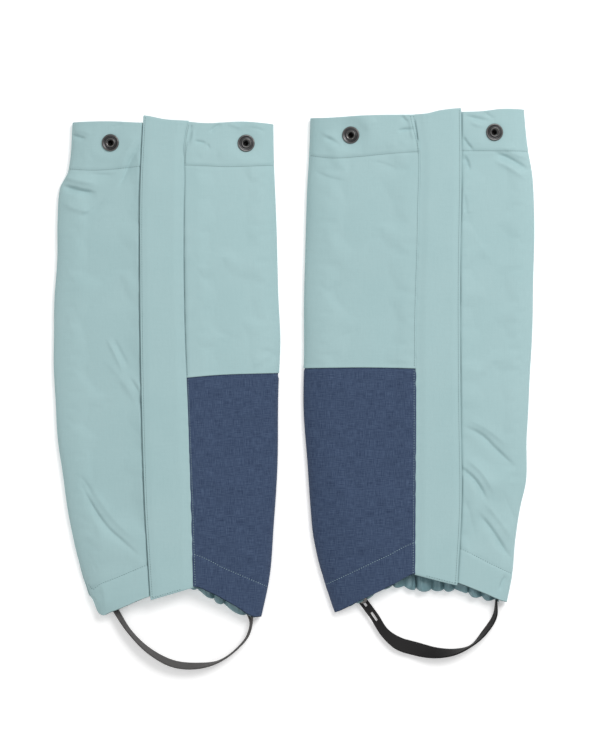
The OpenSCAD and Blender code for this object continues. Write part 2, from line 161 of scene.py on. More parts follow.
HEEL_EDGE = {
    "left": [(-72, -18), (-40, -12), (-10, -1.5), (2, -3), (15, -6.8), (28, -14.2), (39, -20.4),
             (47, -25), (57, -29), (76, -30)],
    "right": [(-68, -24), (-53, -23.5), (-36, -19.5), (-24, -15.2), (-10, -14.6), (10, -14.2),
              (24, -12.5), (38, -12), (60, -24), (88, -32)]}
FLAP_TOP = {
    "left": [(-27, 400), (-20, 399), (-5, 395.8), (17, 394.0)],
    "right": [(-26, 397.2), (-15, 396.4), (-5, 395.0), (5, 392.6), (17, 391.6)]}
FLAP_LOW = {
    "left": [(-27, -12.6), (13, -1.6)],
    "right": [(-24, -8.4), (-20, -7.5), (16, 1.6)]}
KNEE_STITCH = {
    "left": [(-92, 356.4), (-68, 354.2), (-50, 354.6), (-28, 356.4), (12, 356.8), (50, 355), (90, 356)],
    "right": [(-86, 361.3), (-24, 361.2), (12, 360.4), (35, 359), (63, 356.4), (86, 355.2), (108, 358.2)]}
ANKLE_STITCH = {
    "left": [(-82, -4), (-66, 2.4), (-46, 10), (-26, 18), (0, 26), (13, 26.2), (40, 13.8), (60, 4.6),
             (80, -5)],
    "right": [(-70, 0.3), (-46, 11.9), (-24, 22.8), (0, 29), (15, 28.6), (38, 17.8), (64, 5.4),
              (96, -10)]}
GUARD_TOP = {
    "left": [(5, 176.2), (30, 178.2), (92, 179.4)],
    "right": [(10, 176.6), (60, 177.6), (112, 176.9)]}

# Creases in the front: points (x, y) along one, its half width and its height; below 0 is a valley
CREASES = {
    "left": [
        ([(-95, 341.7), (-84.7, 339.5), (-74.6, 336.3), (-63, 334.5)], 3.4, -2.9),
        ([(-97, 351), (-80, 345), (-62, 342)], 5, 1.4), ([(-94, 330), (-84, 321), (-64, 318)], 7, 1.0),
        ([(-81, 315), (-72, 317), (-64, 322), (-56, 331)], 3.5, -0.8),
        ([(-74, 352), (-58, 350), (-45, 350)], 3, -0.8),
        ([(-86, 385.6), (-76, 382.4), (-71, 381)], 2.0, -1.7), ([(-84, 389), (-66, 384)], 4, 0.6),
        ([(-24, 377.6), (-33.4, 364), (-39.8, 348), (-47, 336)], 2.6, -1.3),
        ([(-26, 384), (-37, 370), (-44, 353)], 5, 0.9), ([(-52, 389), (-38, 393)], 2.2, -0.6),
        ([(-80, 300), (-50, 322)], 9, 0.5), ([(-58, 213), (-50.6, 197.6), (-43, 180)], 4, 0.9),
        ([(-52, 212), (-45, 198), (-38, 184)], 4, -0.8), ([(-62, 196), (-30, 148)], 7, 0.5),
        ([(-40, 180), (-29, 163), (-25, 146)], 4, -1.1),
        ([(-83, 90), (-69.2, 64), (-59.3, 49.7), (-45.2, 37.3), (-29, 23)], 3.4, -1.5),
        ([(-76, 92), (-62, 67), (-48, 50), (-30, 36)], 7, 0.9), ([(-83, 96), (-70, 73)], 4, -0.6),
        ([(-74, -8), (-69, -22)], 3, -1.0), ([(-66, 5), (-62, -22)], 6, 0.7),
        ([(33, 384), (37, 388.6), (44, 391.6)], 2.0, -1.2),
        ([(20, 377), (25, 376.6), (31, 375)], 1.8, -1.3), ([(31, 375), (33, 370)], 1.8, -0.9),
        ([(17.5, 393), (13.5, 374)], 1.4, -1.4), ([(20, 388), (17, 372)], 1.8, 0.8),
        ([(48, 391), (62, 386)], 3, 0.7), ([(66, 388), (82, 384)], 2.2, -0.6),
        ([(75, 200), (90, 190)], 6, -0.6), ([(30, 215), (62, 205)], 9, -0.35),
        ([(60, 180), (86, 196)], 7, 0.35)],
    "right": [
        ([(-51, 360), (-65.7, 355.4), (-84, 344)], 3.4, -2.6),
        ([(-50, 354), (-66, 347), (-80, 336)], 5, 1.2), ([(-58, 365), (-84, 354)], 4, 0.9),
        ([(-26, 391.4), (-41.3, 387.9), (-55, 385.6)], 2.4, -1.5),
        ([(-43, 395), (-54, 388)], 2.2, -1.1), ([(-30, 386), (-48, 381)], 3, 0.9),
        ([(-25, 374), (-29, 367), (-35, 361)], 2.2, -1.5),
        ([(-26, 358), (-29.5, 352), (-31, 344)], 2.4, -1.5),
        ([(31, 378), (24, 379.6), (14, 379.8)], 1.8, -1.7), ([(27, 391.5), (21, 385)], 1.9, -1.4),
        ([(15.4, 391), (13, 376), (12.6, 364)], 1.5, -1.8), ([(20, 389), (16, 368)], 1.9, 0.9),
        ([(48, 388), (58, 378)], 6, 0.6), ([(93, 373), (84, 370), (77, 364)], 2.8, -1.2),
        ([(96, 378), (80, 372)], 3, 0.6), ([(102, 345), (88, 338), (72, 335)], 3, -0.6),
        ([(-25, 328), (-29, 312), (-25, 294)], 3.4, -0.9),
        ([(-24, 128), (-41.3, 121), (-55.5, 105.7), (-72, 91)], 3.4, -1.7),
        ([(-28, 134), (-48, 124), (-66, 108)], 6, 0.9),
        ([(-22, 93.6), (-37.2, 81.4), (-46.5, 63)], 3.2, -2.3),
        ([(-26, 101), (-42, 88), (-53, 68)], 5, 1.2),
        ([(-37, 55), (-49.4, 40.7), (-59.6, 24.4), (-69, 12)], 3.2, -2.1),
        ([(-42, 64), (-56, 48), (-69, 28)], 5.5, 1.1), ([(-24, 72), (-32, 52), (-36, 30)], 5, -0.6),
        ([(-60, 74), (-74, 42)], 5, -0.6), ([(-30, 300), (-56, 262)], 10, 0.45),
        ([(-66, 255), (-42, 215)], 9, -0.4), ([(40, 330), (80, 300)], 10, 0.4),
        ([(30, 345), (52, 352)], 4, -0.5), ([(60, 210), (98, 192)], 8, -0.4),
        ([(-62, 1), (-56, -14)], 2.6, -1.3)]}

SHOULDER = {"left": 1.35, "right": 0.45}     # how far the cloth stands up along the flap's free edge
SHOULDER_FADE = 18        # and how far from the edge that dies away
KNEE_RISE = 0.35          # the doubled knee hem stands this far over the plain cloth
ANKLE_RISE = 0.3          # and so does the bottom hem
SEAM_VALLEY = 0.45        # depth of a hem's line of stitches
PUCKER = 0.28             # height of the puckers beside it
SEAM_PUCKER = 0.18        # and of those beside the flap's seam
BACK_FOLD = 1.76          # depth of the folds that the elastic draws into the back
CREASE_DEPTH = 1.15       # the creases' heights above are scaled by this
CREASE_STEEP = 0.38       # width of the side away from the light, as a share of the half width
CREASE_EASY = 1.0         # and of the other side
CREASE_BOW = 0.07         # a crease given by its two ends bows by this share of its length

# Heights of the laid-out tube, in mm over the floor
CREST_OUT = 15.2          # outer half of the front, at the zip
CREST_IN = 17.2           # inner half, at the flap's sewn edge
FOLD_Z = 3.4              # side folds
BACK_Z = 0.1              # outer face of the back
ZIP_GAP = 6.5             # the cloth stops this far from the zip
CLOTH = 0.7               # thickness of a panel
SIDE_WRAP = 13            # the front panels end this far behind a fold
STUD_FOOT = 2.0           # from a press stud's mount point down to the cloth
STUD_REACH = 13.5         # the cloth is level with the stud this far round it
QUARTER_MM = 100.0        # rough distance from the zip to a fold, for a first guess of q
GUARD_Y = 177             # top of the ankle guard, up the leg
ROW_STEP = 0.9            # distance between rows of the table
QUARTER = 128             # columns of the table between zip and fold, and fold and back


def round_line(points):
    """An open line with its corners cut twice; its ends stay."""
    for _ in range(2):
        near = points[:-1] * 0.75 + points[1:] * 0.25
        far = points[:-1] * 0.25 + points[1:] * 0.75
        points = np.concatenate([points[:1], np.stack([near, far], 1).reshape(-1, 2)[1:-1], points[-1:]])
    return points


def crease(x, y, points, width, tall):
    """Height of one crease: it fades at both ends and is steep on its shaded side."""
    points = np.array(points, float)
    if len(points) == 2:
        ahead = points[1] - points[0]
        bow = CREASE_BOW * np.array([-ahead[1], ahead[0]])
        points = np.insert(points, 1, points.mean(0) + bow, axis=0)
    points = round_line(points)
    height = np.zeros_like(x)
    reach = 4 * width
    low, high = points.min(0) - reach, points.max(0) + reach
    near = (x > low[0]) & (x < high[0]) & (y > low[1]) & (y < high[1])
    px, py = x[near], y[near]
    part = np.linalg.norm(np.diff(points, axis=0), axis=1)
    nearest = np.full(px.shape, np.inf)
    below = np.zeros_like(px)
    travel = np.zeros_like(px)
    for k, (start, end) in enumerate(zip(points, points[1:])):
        ax, ay = end - start
        t = np.clip(((px - start[0]) * ax + (py - start[1]) * ay) / part[k] ** 2, 0, 1)
        dx, dy = px - start[0] - t * ax, py - start[1] - t * ay
        away = np.hypot(dx, dy)
        closer = away < nearest
        nearest = np.minimum(away, nearest)
        below = np.where(closer, np.sign(dx * ay - dy * ax) * (1 if ax > 0 else -1), below)
        travel = np.where(closer, (part[:k].sum() + t * part[k]) / part.sum(), travel)
    shaded = below * np.sign(tall) > 0
    share = nearest / (width * np.where(shaded, CREASE_STEEP, CREASE_EASY))
    fade = step(-0.02, 0.3, travel) * (1 - step(0.65, 1.02, travel))
    height[near] = CREASE_DEPTH * tall * fade * np.exp(-share ** 1.4)
    return height


class Leg:
    """One gaiter: its frame, its outlines and the table of its cloth."""

    def __init__(self, side):
        self.side = side
        self.seed = 10 * SIDES.index(side) + 3
        puller = np.array(JOINTS[side + "_puller_hinge"]["pos_m"])
        hinge = np.array(JOINTS[side + "_flap_hinge"]["pos_m"])
        opening = np.array(MOUNTS[side + "_leg_opening"]["pos_m"])
        rest = np.array(MOUNTS[side + "_floor_rest"]["pos_m"])
        self.up = -np.array(JOINTS[side + "_zip_slide"]["axis"], float)
        aside = hinge - puller
        aside[2] = 0
        self.right = unit(aside - self.up * (aside @ self.up))
        self.hinge_x = float((hinge - puller) @ self.right) / MM
        self.height = 2 * float((opening - rest) @ self.up) / MM
        self.origin = puller + self.up * ((opening - puller) @ self.up - self.height * MM)
        self.origin[2] = 0
        self.build_table()

    def world(self, points):
        """Points in this gaiter's frame, in mm, as points of the row frame in metres."""
        points = np.asarray(points, float) * MM
        flat = points[..., :1] * self.right + points[..., 1:2] * self.up
        return self.origin + flat + points[..., 2:] * np.array([0, 0, 1.0])

    def local(self, point):
        """A point of the row frame, in metres, in this gaiter's frame in mm."""
        away = np.asarray(point, float) - self.origin
        return np.array([away @ self.right, away @ self.up, away[2]]) / MM

    def direction(self, v):
        """A direction of this gaiter's frame in the row frame."""
        return v[0] * self.right + v[1] * self.up + v[2] * np.array([0, 0, 1.0])

    # -- outlines -----------------------------------------------------------------------

    def shift(self, y0, x, back):
        """How far the knee and bottom hems pull the station y0 up or down at x."""
        knee = step(self.height - 60, self.height, y0) * (smooth(KNEE_EDGE[self.side], x) - self.height)
        low = smooth(FRONT_HEM[self.side], x)
        heel = smooth(HEEL_EDGE[self.side], x) + 10 * bump(x / 45, 0, 1)
        fall = 1 - step(0, 90, y0)
        return knee + fall * np.where(back, heel, low)

    def fold(self, outline, side_sign, y0):
        """Distance of a side fold from the zip at station y0."""
        f = smooth(outline, y0)
        for _ in range(5):
            f = smooth(outline, y0 + self.shift(y0, side_sign * f, False))
        return f + 0.35 * ripple(y0, 75, self.seed + side_sign) * step(0, 30, y0)

    def section(self, f, inner):
        """Half of the tube's section from the zip to the middle of the back: x, z."""
        front = np.linspace(0, 90, 400)
        back = np.linspace(90, 180, 400)[1:]
        rise = np.cos(np.radians(front))
        x = f * np.sin(np.radians(front)) ** (2 / 3)
        z = FOLD_Z + (CREST_OUT - FOLD_Z) * rise
        if inner:
            z = z + (CREST_IN - CREST_OUT) * step(8, 12.5, x) * rise
        x_back = f * np.sin(np.radians(back)) ** 0.25
        z_back = FOLD_Z + (FOLD_Z - BACK_Z) * np.cos(np.radians(back))
        return (x, z), (np.r_[x[-1], x_back], np.r_[z[-1], z_back])

    def build_table(self):
        """Rest shape, then the simulated slump, then seams and creases."""
        self.rows = np.arange(self.height, -1e-6, -ROW_STEP)
        outer = self.fold(OUTER_FOLD[self.side], -1, self.rows)
        inner = self.fold(INNER_FOLD[self.side], 1, self.rows)
        self.q = np.linspace(-2, 2, 4 * QUARTER + 1)
        table = np.zeros((len(self.rows), len(self.q), 3))
        self.reach = np.zeros((len(self.rows), 4))
        even = np.linspace(0, 1, QUARTER + 1)
        for i, y0 in enumerate(self.rows):
            halves = []
            for k, (f, is_inner) in enumerate(((outer[i], False), (inner[i], True))):
                for m, (x, z) in enumerate(self.section(f, is_inner)):
                    along = np.r_[0, np.cumsum(np.hypot(np.diff(x), np.diff(z)))]
                    self.reach[i, 2 * k + m] = along[-1]
                    place = even * along[-1]
                    halves.append(np.c_[np.interp(place, along, x), np.interp(place, along, z)])
            out_front, out_back, in_front, in_back = halves
            x = np.r_[-out_back[::-1, 0], -out_front[::-1, 0][1:], in_front[1:, 0], in_back[1:, 0]]
            z = np.r_[out_back[::-1, 1], out_front[::-1, 1][1:], in_front[1:, 1], in_back[1:, 1]]
            table[i, :, 0] = x
            table[i, :, 2] = z
            table[i, :, 1] = y0 + self.shift(y0, x, np.abs(self.q) > 1)
        table += slump(self, table)
        normal = self.normals(table)
        table += normal * self.relief(table)[..., None]
        self.seat_studs(table)
        table[..., 2] = np.maximum(table[..., 2], BACK_Z)
        self.table = table
        self.normal = self.normals(table)

    def normals(self, table):
        """Outward normals of the table's points."""
        down = np.gradient(table, axis=0)
        across = np.gradient(table, axis=1)
        return unit(np.cross(down, across))

    def relief(self, table):
        """Height of seams, hems and creases over the plain cloth."""
        x, y = table[..., 0], table[..., 1]
        q = np.broadcast_to(self.q, x.shape)
        front = 1 - step(0.93, 1.02, np.abs(q))
        knee = smooth(KNEE_STITCH[self.side], x)
        ankle = smooth(ANKLE_STITCH[self.side], x)
        height = KNEE_RISE * step(-1.5, 1.5, y - knee) + ANKLE_RISE * step(-1.5, 1.5, ankle - y)
        for line, seed in ((knee, 1), (ankle, 2)):
            near = np.exp(-np.abs(y - line) / 7)
            height -= SEAM_VALLEY * bump(y, line, 1.3)
            height += PUCKER * near * ripple(x, 17, self.seed + seed)
        edge = smooth(FLAP_EDGE[self.side], y)
        outside = (x < 0) & (np.abs(q) < 1)
        shoulder = SHOULDER[self.side] + 0.45 * ripple(y, 70, self.seed + 5)
        fade = np.exp(-np.clip(edge - x - 1.9, 0, None) / SHOULDER_FADE)
        rise = np.clip(shoulder, 0, 2.0) * step(0.1, 1.9, edge - x) * fade
        height += np.where(outside, rise - 0.4 * bump(x, edge, 1.2), 0)
        seam = smooth(FLAP_SEAM[self.side], y)
        pucker = SEAM_PUCKER * np.exp(-np.abs(x - seam) / 6) * ripple(y, 15, self.seed + 7)
        height += np.where(x > 0, pucker, 0)
        for points, width, tall in CREASES[self.side]:
            height += crease(x, y, points, width, tall)
        lazy = 0.4 * ripple(x + 0.35 * y, 95, self.seed + 8) + 0.35 * ripple(y - 0.4 * x, 150, self.seed + 9)
        free = step(14, 40, np.abs(x - (12 if self.side == "left" else 14) * (x > 0)))
        height += lazy * free * front
        back = step(1.02, 1.12, np.abs(q))
        gather = 1 - step(6, 52, y)
        height -= BACK_FOLD * back * gather * np.abs(ripple(x, 11, self.seed + 11))
        return height * np.where(np.abs(q) > 1.02, back, 1) * np.where(np.abs(q) > 1.02, 1, front)

    def seat_studs(self, table):
        """Brings the cloth round each press stud to the height and slope the stud stands on."""
        front = np.abs(self.q) < 0.97
        for name in self.studs():
            px, py, pz = self.local(MOUNTS[name]["pos_m"])
            nx, ny, nz = self.axis(MOUNTS[name]["axis"])
            foot = np.array([px, py, pz]) - STUD_FOOT * np.array([nx, ny, nz])
            dx, dy = table[..., 0] - foot[0], table[..., 1] - foot[1]
            target = foot[2] - (nx * dx + ny * dy) / nz
            share = np.exp(-(np.hypot(dx, dy) / STUD_REACH) ** 4) * front
            table[..., 2] += share * (target - table[..., 2])

    def axis(self, v):
        """A direction of the row frame in this gaiter's frame."""
        v = np.asarray(v, float)
        return np.array([v @ self.right, v @ self.up, v[2]])

    def studs(self):
        """Names of this gaiter's press-stud mounts."""
        return [name for name in MOUNTS if name.startswith(self.side) and name.endswith("press_stud")]

    # -- reading the cloth ---------------------------------------------------------------

    def row(self, y0):
        """Row of the table at station y0."""
        return (self.height - np.asarray(y0, float)) / ROW_STEP

    def read(self, y0, q):
        """Point and normal of the cloth at station y0 and place q."""
        row = self.row(y0)
        column = (np.asarray(q, float) + 2) * QUARTER
        return sample(self.table, row, column), unit(sample(self.normal, row, column))

    def at(self, y0, q, lift=0):
        """Point at station y0 and place q, lifted off the cloth by lift."""
        point, out = self.read(y0, q)
        return point + out * np.asarray(lift, float)[..., None]

    def find(self, x, y):
        """Station and place q of a point of the front, given its x and y."""
        x, y = np.broadcast_arrays(np.asarray(x, float), np.asarray(y, float))
        y0 = y.copy()
        q = x / QUARTER_MM
        for _ in range(8):
            p = self.at(y0, q)
            y0 = np.clip(y0 + (y - p[..., 1]), 0, self.height)
            q = np.clip(q + (x - p[..., 0]) / QUARTER_MM, -0.995, 0.995)
        return y0, q

    def lengths(self, y0):
        """Lengths round the tube at station y0: outer front, outer back, inner front and inner back."""
        row = self.row(y0)
        return sample(self.reach[:, None, :].repeat(2, 1), row, np.zeros_like(row))

    def arc(self, y0, q):
        """Distance along the cloth from the zip, in mm, for the weave."""
        reach = self.lengths(y0)
        q = np.asarray(q, float)
        outer = np.minimum(-q, 1) * reach[..., 0] + np.maximum(-q - 1, 0) * reach[..., 1]
        inner = np.minimum(q, 1) * reach[..., 2] + np.maximum(q - 1, 0) * reach[..., 3]
        return np.where(q < 0, -outer, inner)


SLUMP_ROWS = 5            # the simulated cloth takes every fifth row
SLUMP_COLUMNS = 4         # and every fourth column
SLUMP_SHARE = 0.4         # share of the simulated move that is kept
SLUMP_CAP = 1.4           # and its largest length, mm
SLUMP_SCALE = 10          # Blender's Cloth works better on a mesh ten times as large
SLUMP_FRAMES = 24         # frames of settling
SLUMP_JITTER = 1e-4       # the start is a little uneven, so that slack cloth can buckle
SLUMP_GRAVITY = 0.15      # share of gravity, for light cloth
CLOTH_SETTINGS = {"quality": 5, "mass": 0.3, "tension_stiffness": 15, "compression_stiffness": 15,
                  "shear_stiffness": 5, "bending_stiffness": 2.5, "shrink_min": -0.012,
                  "shrink_max": -0.012, "vertex_group_mass": "held", "use_pressure": True,
                  "uniform_pressure_force": 0.12}


def held_share(leg, q, x, y):
    """How firmly each point of the tube is held: 1 at the zip, hems, folds and back, 0 between them."""
    front = np.abs(q) < 1
    held = 1 - step(16, 30, np.abs(x)) * front
    held = np.maximum(held, 1 - step(0.02, 0.30, np.abs(np.abs(q) - 1)) * front)
    held = np.maximum(held, step(leg.height - 34, leg.height - 20, y))
    return np.maximum(held, 1 - step(8, 26, y))


def simulate(leg, tube, held):
    """Blender's Cloth on a closed tube of points in mm, and how far each of them moves."""
    scene = bpy.context.scene
    rows, columns = held.shape
    index = np.arange(rows * columns).reshape(rows, columns)
    turn = np.roll(index, -1, axis=1)
    faces = np.stack([index[:-1], index[1:], turn[1:], turn[:-1]], -1).reshape(-1, 4)
    start = tube.reshape(-1, 3) * MM * SLUMP_SCALE
    draw = np.random.default_rng(leg.seed)
    mesh = bpy.data.meshes.new("slump")
    mesh.from_pydata((start + draw.normal(0, SLUMP_JITTER, start.shape)).tolist(), [], faces.tolist())
    thing = bpy.data.objects.new("slump", mesh)
    scene.collection.objects.link(thing)
    group = thing.vertex_groups.new(name="held")
    for vertex, weight in enumerate(held.ravel()):
        group.add([vertex], float(np.clip(weight, 0, 1)), "REPLACE")
    cloth = thing.modifiers.new("Cloth", "CLOTH")
    for key, value in CLOTH_SETTINGS.items():
        setattr(cloth.settings, key, value)
    cloth.settings.effector_weights.gravity = SLUMP_GRAVITY
    cloth.point_cache.frame_start = 1
    cloth.point_cache.frame_end = SLUMP_FRAMES
    for number in range(1, SLUMP_FRAMES + 1):
        scene.frame_set(number)
    moved = thing.evaluated_get(bpy.context.evaluated_depsgraph_get()).data
    place = np.zeros(len(moved.vertices) * 3, np.float32)
    moved.vertices.foreach_get("co", place)
    bpy.data.objects.remove(thing)
    bpy.data.meshes.remove(mesh)
    scene.frame_set(1)
    return (place.reshape(-1, 3) - start).reshape(rows, columns, 3) / (MM * SLUMP_SCALE)


def slump(leg, table):
    """Move of each point of the table as slack cloth settles between the zip, hems and folds."""
    tube = table[::SLUMP_ROWS, :-1:SLUMP_COLUMNS]
    held = held_share(leg, leg.q[:-1:SLUMP_COLUMNS], tube[..., 0], tube[..., 1])
    move = simulate(leg, tube, held)
    move *= (1 - held)[..., None] ** 0.5 * SLUMP_SHARE
    move *= np.minimum(1, SLUMP_CAP / np.maximum(np.linalg.norm(move, axis=-1, keepdims=True), 1e-9))
    move = np.concatenate([move, move[:, :1]], axis=1)
    row = np.arange(table.shape[0]) / SLUMP_ROWS
    column = np.arange(table.shape[1]) / SLUMP_COLUMNS
    return sample(move, np.minimum(row, len(tube) - 1)[:, None], column[None, :])


# ------------------------------------------------------------------------------- meshes

def make(name, points, faces, material, uv=None):
    """Mesh object from world points; uv is one pair a point."""
    mesh = bpy.data.meshes.new(name)
    mesh.from_pydata(np.asarray(points, float).tolist(), [], faces)
    if uv is not None:
        layer = mesh.uv_layers.new(name="cloth")
        corner = np.zeros(len(mesh.loops), np.int64)
        mesh.loops.foreach_get("vertex_index", corner)
        layer.data.foreach_set("uv", np.asarray(uv, np.float32)[corner].ravel())
    mesh.polygons.foreach_set("use_smooth", [True] * len(mesh.polygons))
    mesh.materials.append(material)
    outward(mesh)
    thing = bpy.data.objects.new(name, mesh)
    bpy.context.scene.collection.objects.link(thing)
    return thing


def outward(mesh):
    """Makes a mesh's faces look outwards."""
    work = bmesh.new()
    work.from_mesh(mesh)
    bmesh.ops.recalc_face_normals(work, faces=work.faces)
    work.to_mesh(mesh)
    work.free()


def rim_of(rows, columns):
    """Indices round the rim of a grid, in order."""
    top = [(0, j) for j in range(columns)]
    right = [(i, columns - 1) for i in range(1, rows)]
    low = [(rows - 1, j) for j in range(columns - 2, -1, -1)]
    left = [(i, 0) for i in range(rows - 2, 0, -1)]
    return np.array([i * columns + j for i, j in top + right + low + left])


def sheet(name, leg, top, under, uv, material, roll=0.3):
    """Closed cloth sheet between two grids of points, in mm, with a rounded rim."""
    rows, columns = top.shape[:2]
    a, b = top.reshape(-1, 3), under.reshape(-1, 3)
    rim = rim_of(rows, columns)
    inward = np.clip(rim // columns, 1, rows - 2) * columns + np.clip(rim % columns, 1, columns - 2)
    middle = (a[rim] + b[rim]) / 2
    out = unit(middle - (a[inward] + b[inward]) / 2)
    thick = np.linalg.norm(a[rim] - b[rim], axis=1, keepdims=True)
    ring = middle + out * thick * roll
    index = np.arange(rows * columns).reshape(rows, columns)
    quads = np.stack([index[:-1, :-1], index[1:, :-1], index[1:, 1:], index[:-1, 1:]], -1).reshape(-1, 4)
    count = rows * columns
    near = np.roll(rim, -1)
    ring_at = 2 * count + np.arange(len(rim))
    ring_next = np.roll(ring_at, -1)
    faces = np.concatenate([
        quads, quads[:, ::-1] + count,
        np.stack([rim, near, ring_next, ring_at], -1),
        np.stack([ring_at, ring_next, near + count, rim + count], -1)])
    flat_uv = uv.reshape(-1, 2)
    all_uv = np.concatenate([flat_uv, flat_uv, flat_uv[rim]])
    return make(name, leg.world(np.concatenate([a, b, ring])), faces.tolist(), material, all_uv)


def tube_faces(rows, columns):
    """Faces of a tube of rings, row after row, with a flat face at each end."""
    index = np.arange(rows * columns).reshape(rows, columns)
    around = np.roll(index, -1, axis=1)
    sides = np.stack([index[:-1], around[:-1], around[1:], index[1:]], -1).reshape(-1, 4)
    return sides.tolist() + [index[0][::-1].tolist(), index[-1].tolist()]


def lathe(name, profile, centre, axis, material, steps=48):
    """Ring turned about an axis; profile is (radius, height) pairs in mm, closed."""
    axis = unit(np.asarray(axis, float))
    aside = unit(np.cross(axis, [0.0, 1.0, 0.0]))
    third = np.cross(axis, aside)
    angle = np.linspace(0, 2 * np.pi, steps, endpoint=False)
    spokes = np.cos(angle)[:, None] * aside + np.sin(angle)[:, None] * third
    profile = np.array(profile, float) * MM
    points = [centre + spoke * r + axis * h for spoke in spokes for r, h in profile]
    index = np.arange(len(points)).reshape(steps, -1)
    turned = np.roll(index, -1, axis=0)
    faces = np.stack([index, turned, np.roll(turned, -1, axis=1), np.roll(index, -1, axis=1)], -1)
    return make(name, points, faces.reshape(-1, 4).tolist(), material)


def soften(points, rounds=2):
    """Rounds a small polygon by corner cutting."""
    points = np.array(points, float)
    for _ in range(rounds):
        after = np.roll(points, -1, axis=0)
        pairs = np.stack([points * 0.75 + after * 0.25, points * 0.25 + after * 0.75], 1)
        points = pairs.reshape(-1, points.shape[1])
    return points


def copies(name, template, faces, places, frames, material):
    """One mesh of many copies of a small template: places (n,3) in metres, frames (n,3,3) as rows."""
    points = places[:, None, :] + np.einsum("vk,nkd->nvd", template, frames)
    size = len(template)
    all_faces = [tuple(v + k * size for v in face) for k in range(len(places)) for face in faces]
    return make(name, points.reshape(-1, 3), all_faces, material)


def bead(sides=6, rings=3):
    """Small rounded thread: unit long along x, unit wide, as points and faces."""
    points = [(-0.5, 0, 0)]
    for r in range(rings):
        t = (r + 1) / (rings + 1)
        x = -0.5 + t
        radius = 0.5 * math.sin(math.pi * t) ** 0.5
        points += [(x, radius * math.cos(2 * math.pi * s / sides), radius * math.sin(2 * math.pi * s / sides))
                   for s in range(sides)]
    points.append((0.5, 0, 0))
    faces = [(0, 1 + (s + 1) % sides, 1 + s) for s in range(sides)]
    for r in range(rings - 1):
        first = 1 + r * sides
        faces += [(first + s, first + (s + 1) % sides, first + sides + (s + 1) % sides, first + sides + s)
                  for s in range(sides)]
    last = 1 + (rings - 1) * sides
    faces += [(last + s, last + (s + 1) % sides, len(points) - 1) for s in range(sides)]
    return np.array(points), faces


STITCH_PITCH = 2.1        # from stitch to stitch
STITCH_LENGTH = 1.0
STITCH_WIDTH = 0.5
STITCH_TALL = 0.4


def stitches(name, leg, path, out, material, sink=0.08):
    """Row of stitches along a path of points in mm; out is the cloth's normal at each point."""
    step_length = np.linalg.norm(np.diff(path, axis=0), axis=1)
    along = np.r_[0, np.cumsum(step_length)]
    count = max(2, int(along[-1] / STITCH_PITCH))
    at = (np.arange(count) + 0.5) * along[-1] / count

    def read(values, place):
        return np.stack([np.interp(place, along, values[:, k]) for k in range(3)], 1)

    def turned(v, size):
        return np.stack([leg.direction(row) for row in v]) * size * MM

    normal = unit(read(out, at))
    tangent = unit(read(path, at + 0.4) - read(path, at - 0.4))
    side = np.cross(normal, tangent)
    place = leg.world(read(path, at) + normal * (STITCH_TALL / 2 - sink))
    frames = np.stack([turned(tangent, STITCH_LENGTH), turned(side, STITCH_WIDTH),
                       turned(normal, STITCH_TALL)], 1)
    template, faces = bead()
    return copies(name, template, faces, place, frames, material)


# ---------------------------------------------------------------------------- materials

def colour(r, g, b):
    """Linear colour from an 8-bit screen colour."""
    def line(v):
        v = v / 255
        return v / 12.92 if v <= 0.04045 else ((v + 0.055) / 1.055) ** 2.4
    return (line(r), line(g), line(b), 1)


class Graph:
    """Short way to write a material's nodes."""

    def __init__(self, name):
        self.material = bpy.data.materials.new(name)
        self.material.use_nodes = True
        self.nodes = self.material.node_tree.nodes
        self.links = self.material.node_tree.links
        self.shader = self.nodes["Principled BSDF"]

    def set(self, socket, value):
        """Links another node's output to a socket, or sets its value."""
        if isinstance(value, bpy.types.NodeSocket):
            self.links.new(value, socket)
        else:
            socket.default_value = value

    def node(self, kind, inputs=None, out=0, **settings):
        """Makes a node and gives back one of its outputs."""
        made = self.nodes.new(kind)
        for key, value in settings.items():
            setattr(made, key, value)
        for key, value in (inputs or {}).items():
            self.set(made.inputs[key], value)
        return made.outputs[out]

    def maths(self, operation, a, b=0.0, c=0.0):
        """One arithmetic step on numbers or outputs."""
        made = self.nodes.new("ShaderNodeMath")
        made.operation = operation
        for socket, value in zip(made.inputs, (a, b, c)):
            self.set(socket, value)
        return made.outputs[0]

    def mix(self, share, a, b):
        """Mix of two colours."""
        made = self.nodes.new("ShaderNodeMix")
        made.data_type = "RGBA"
        for key, value in ((0, share), (6, a), (7, b)):
            self.set(made.inputs[key], value)
        return made.outputs[2]

    def noise(self, vector, scale, detail=3.0, rough=0.55):
        """Noise, 0 to 1, read at a place."""
        inputs = {"Vector": vector, "Scale": scale, "Detail": detail, "Roughness": rough}
        return self.node("ShaderNodeTexNoise", inputs)

    def stretch(self, vector, x, y, z=1.0):
        """A place with its axes scaled."""
        return self.node("ShaderNodeVectorMath", {0: vector, 1: (x, y, z)}, operation="MULTIPLY")

    def bump(self, height, distance, strength=1.0, under=None):
        """Normal of a fine relief, on top of another if one is given."""
        inputs = {"Height": height, "Distance": distance, "Strength": strength}
        if under is not None:
            inputs["Normal"] = under
        return self.node("ShaderNodeBump", inputs)

    def finish(self, base, rough, normal=None, metallic=0.0, sheen=0.0, specular=0.5):
        """Sets the shader's inputs and gives back the material."""
        for key, value in (("Base Color", base), ("Roughness", rough), ("Metallic", metallic),
                           ("Sheen Weight", sheen), ("Specular IOR Level", specular)):
            self.set(self.shader.inputs[key], value)
        if normal is not None:
            self.set(self.shader.inputs["Normal"], normal)
        return self.material


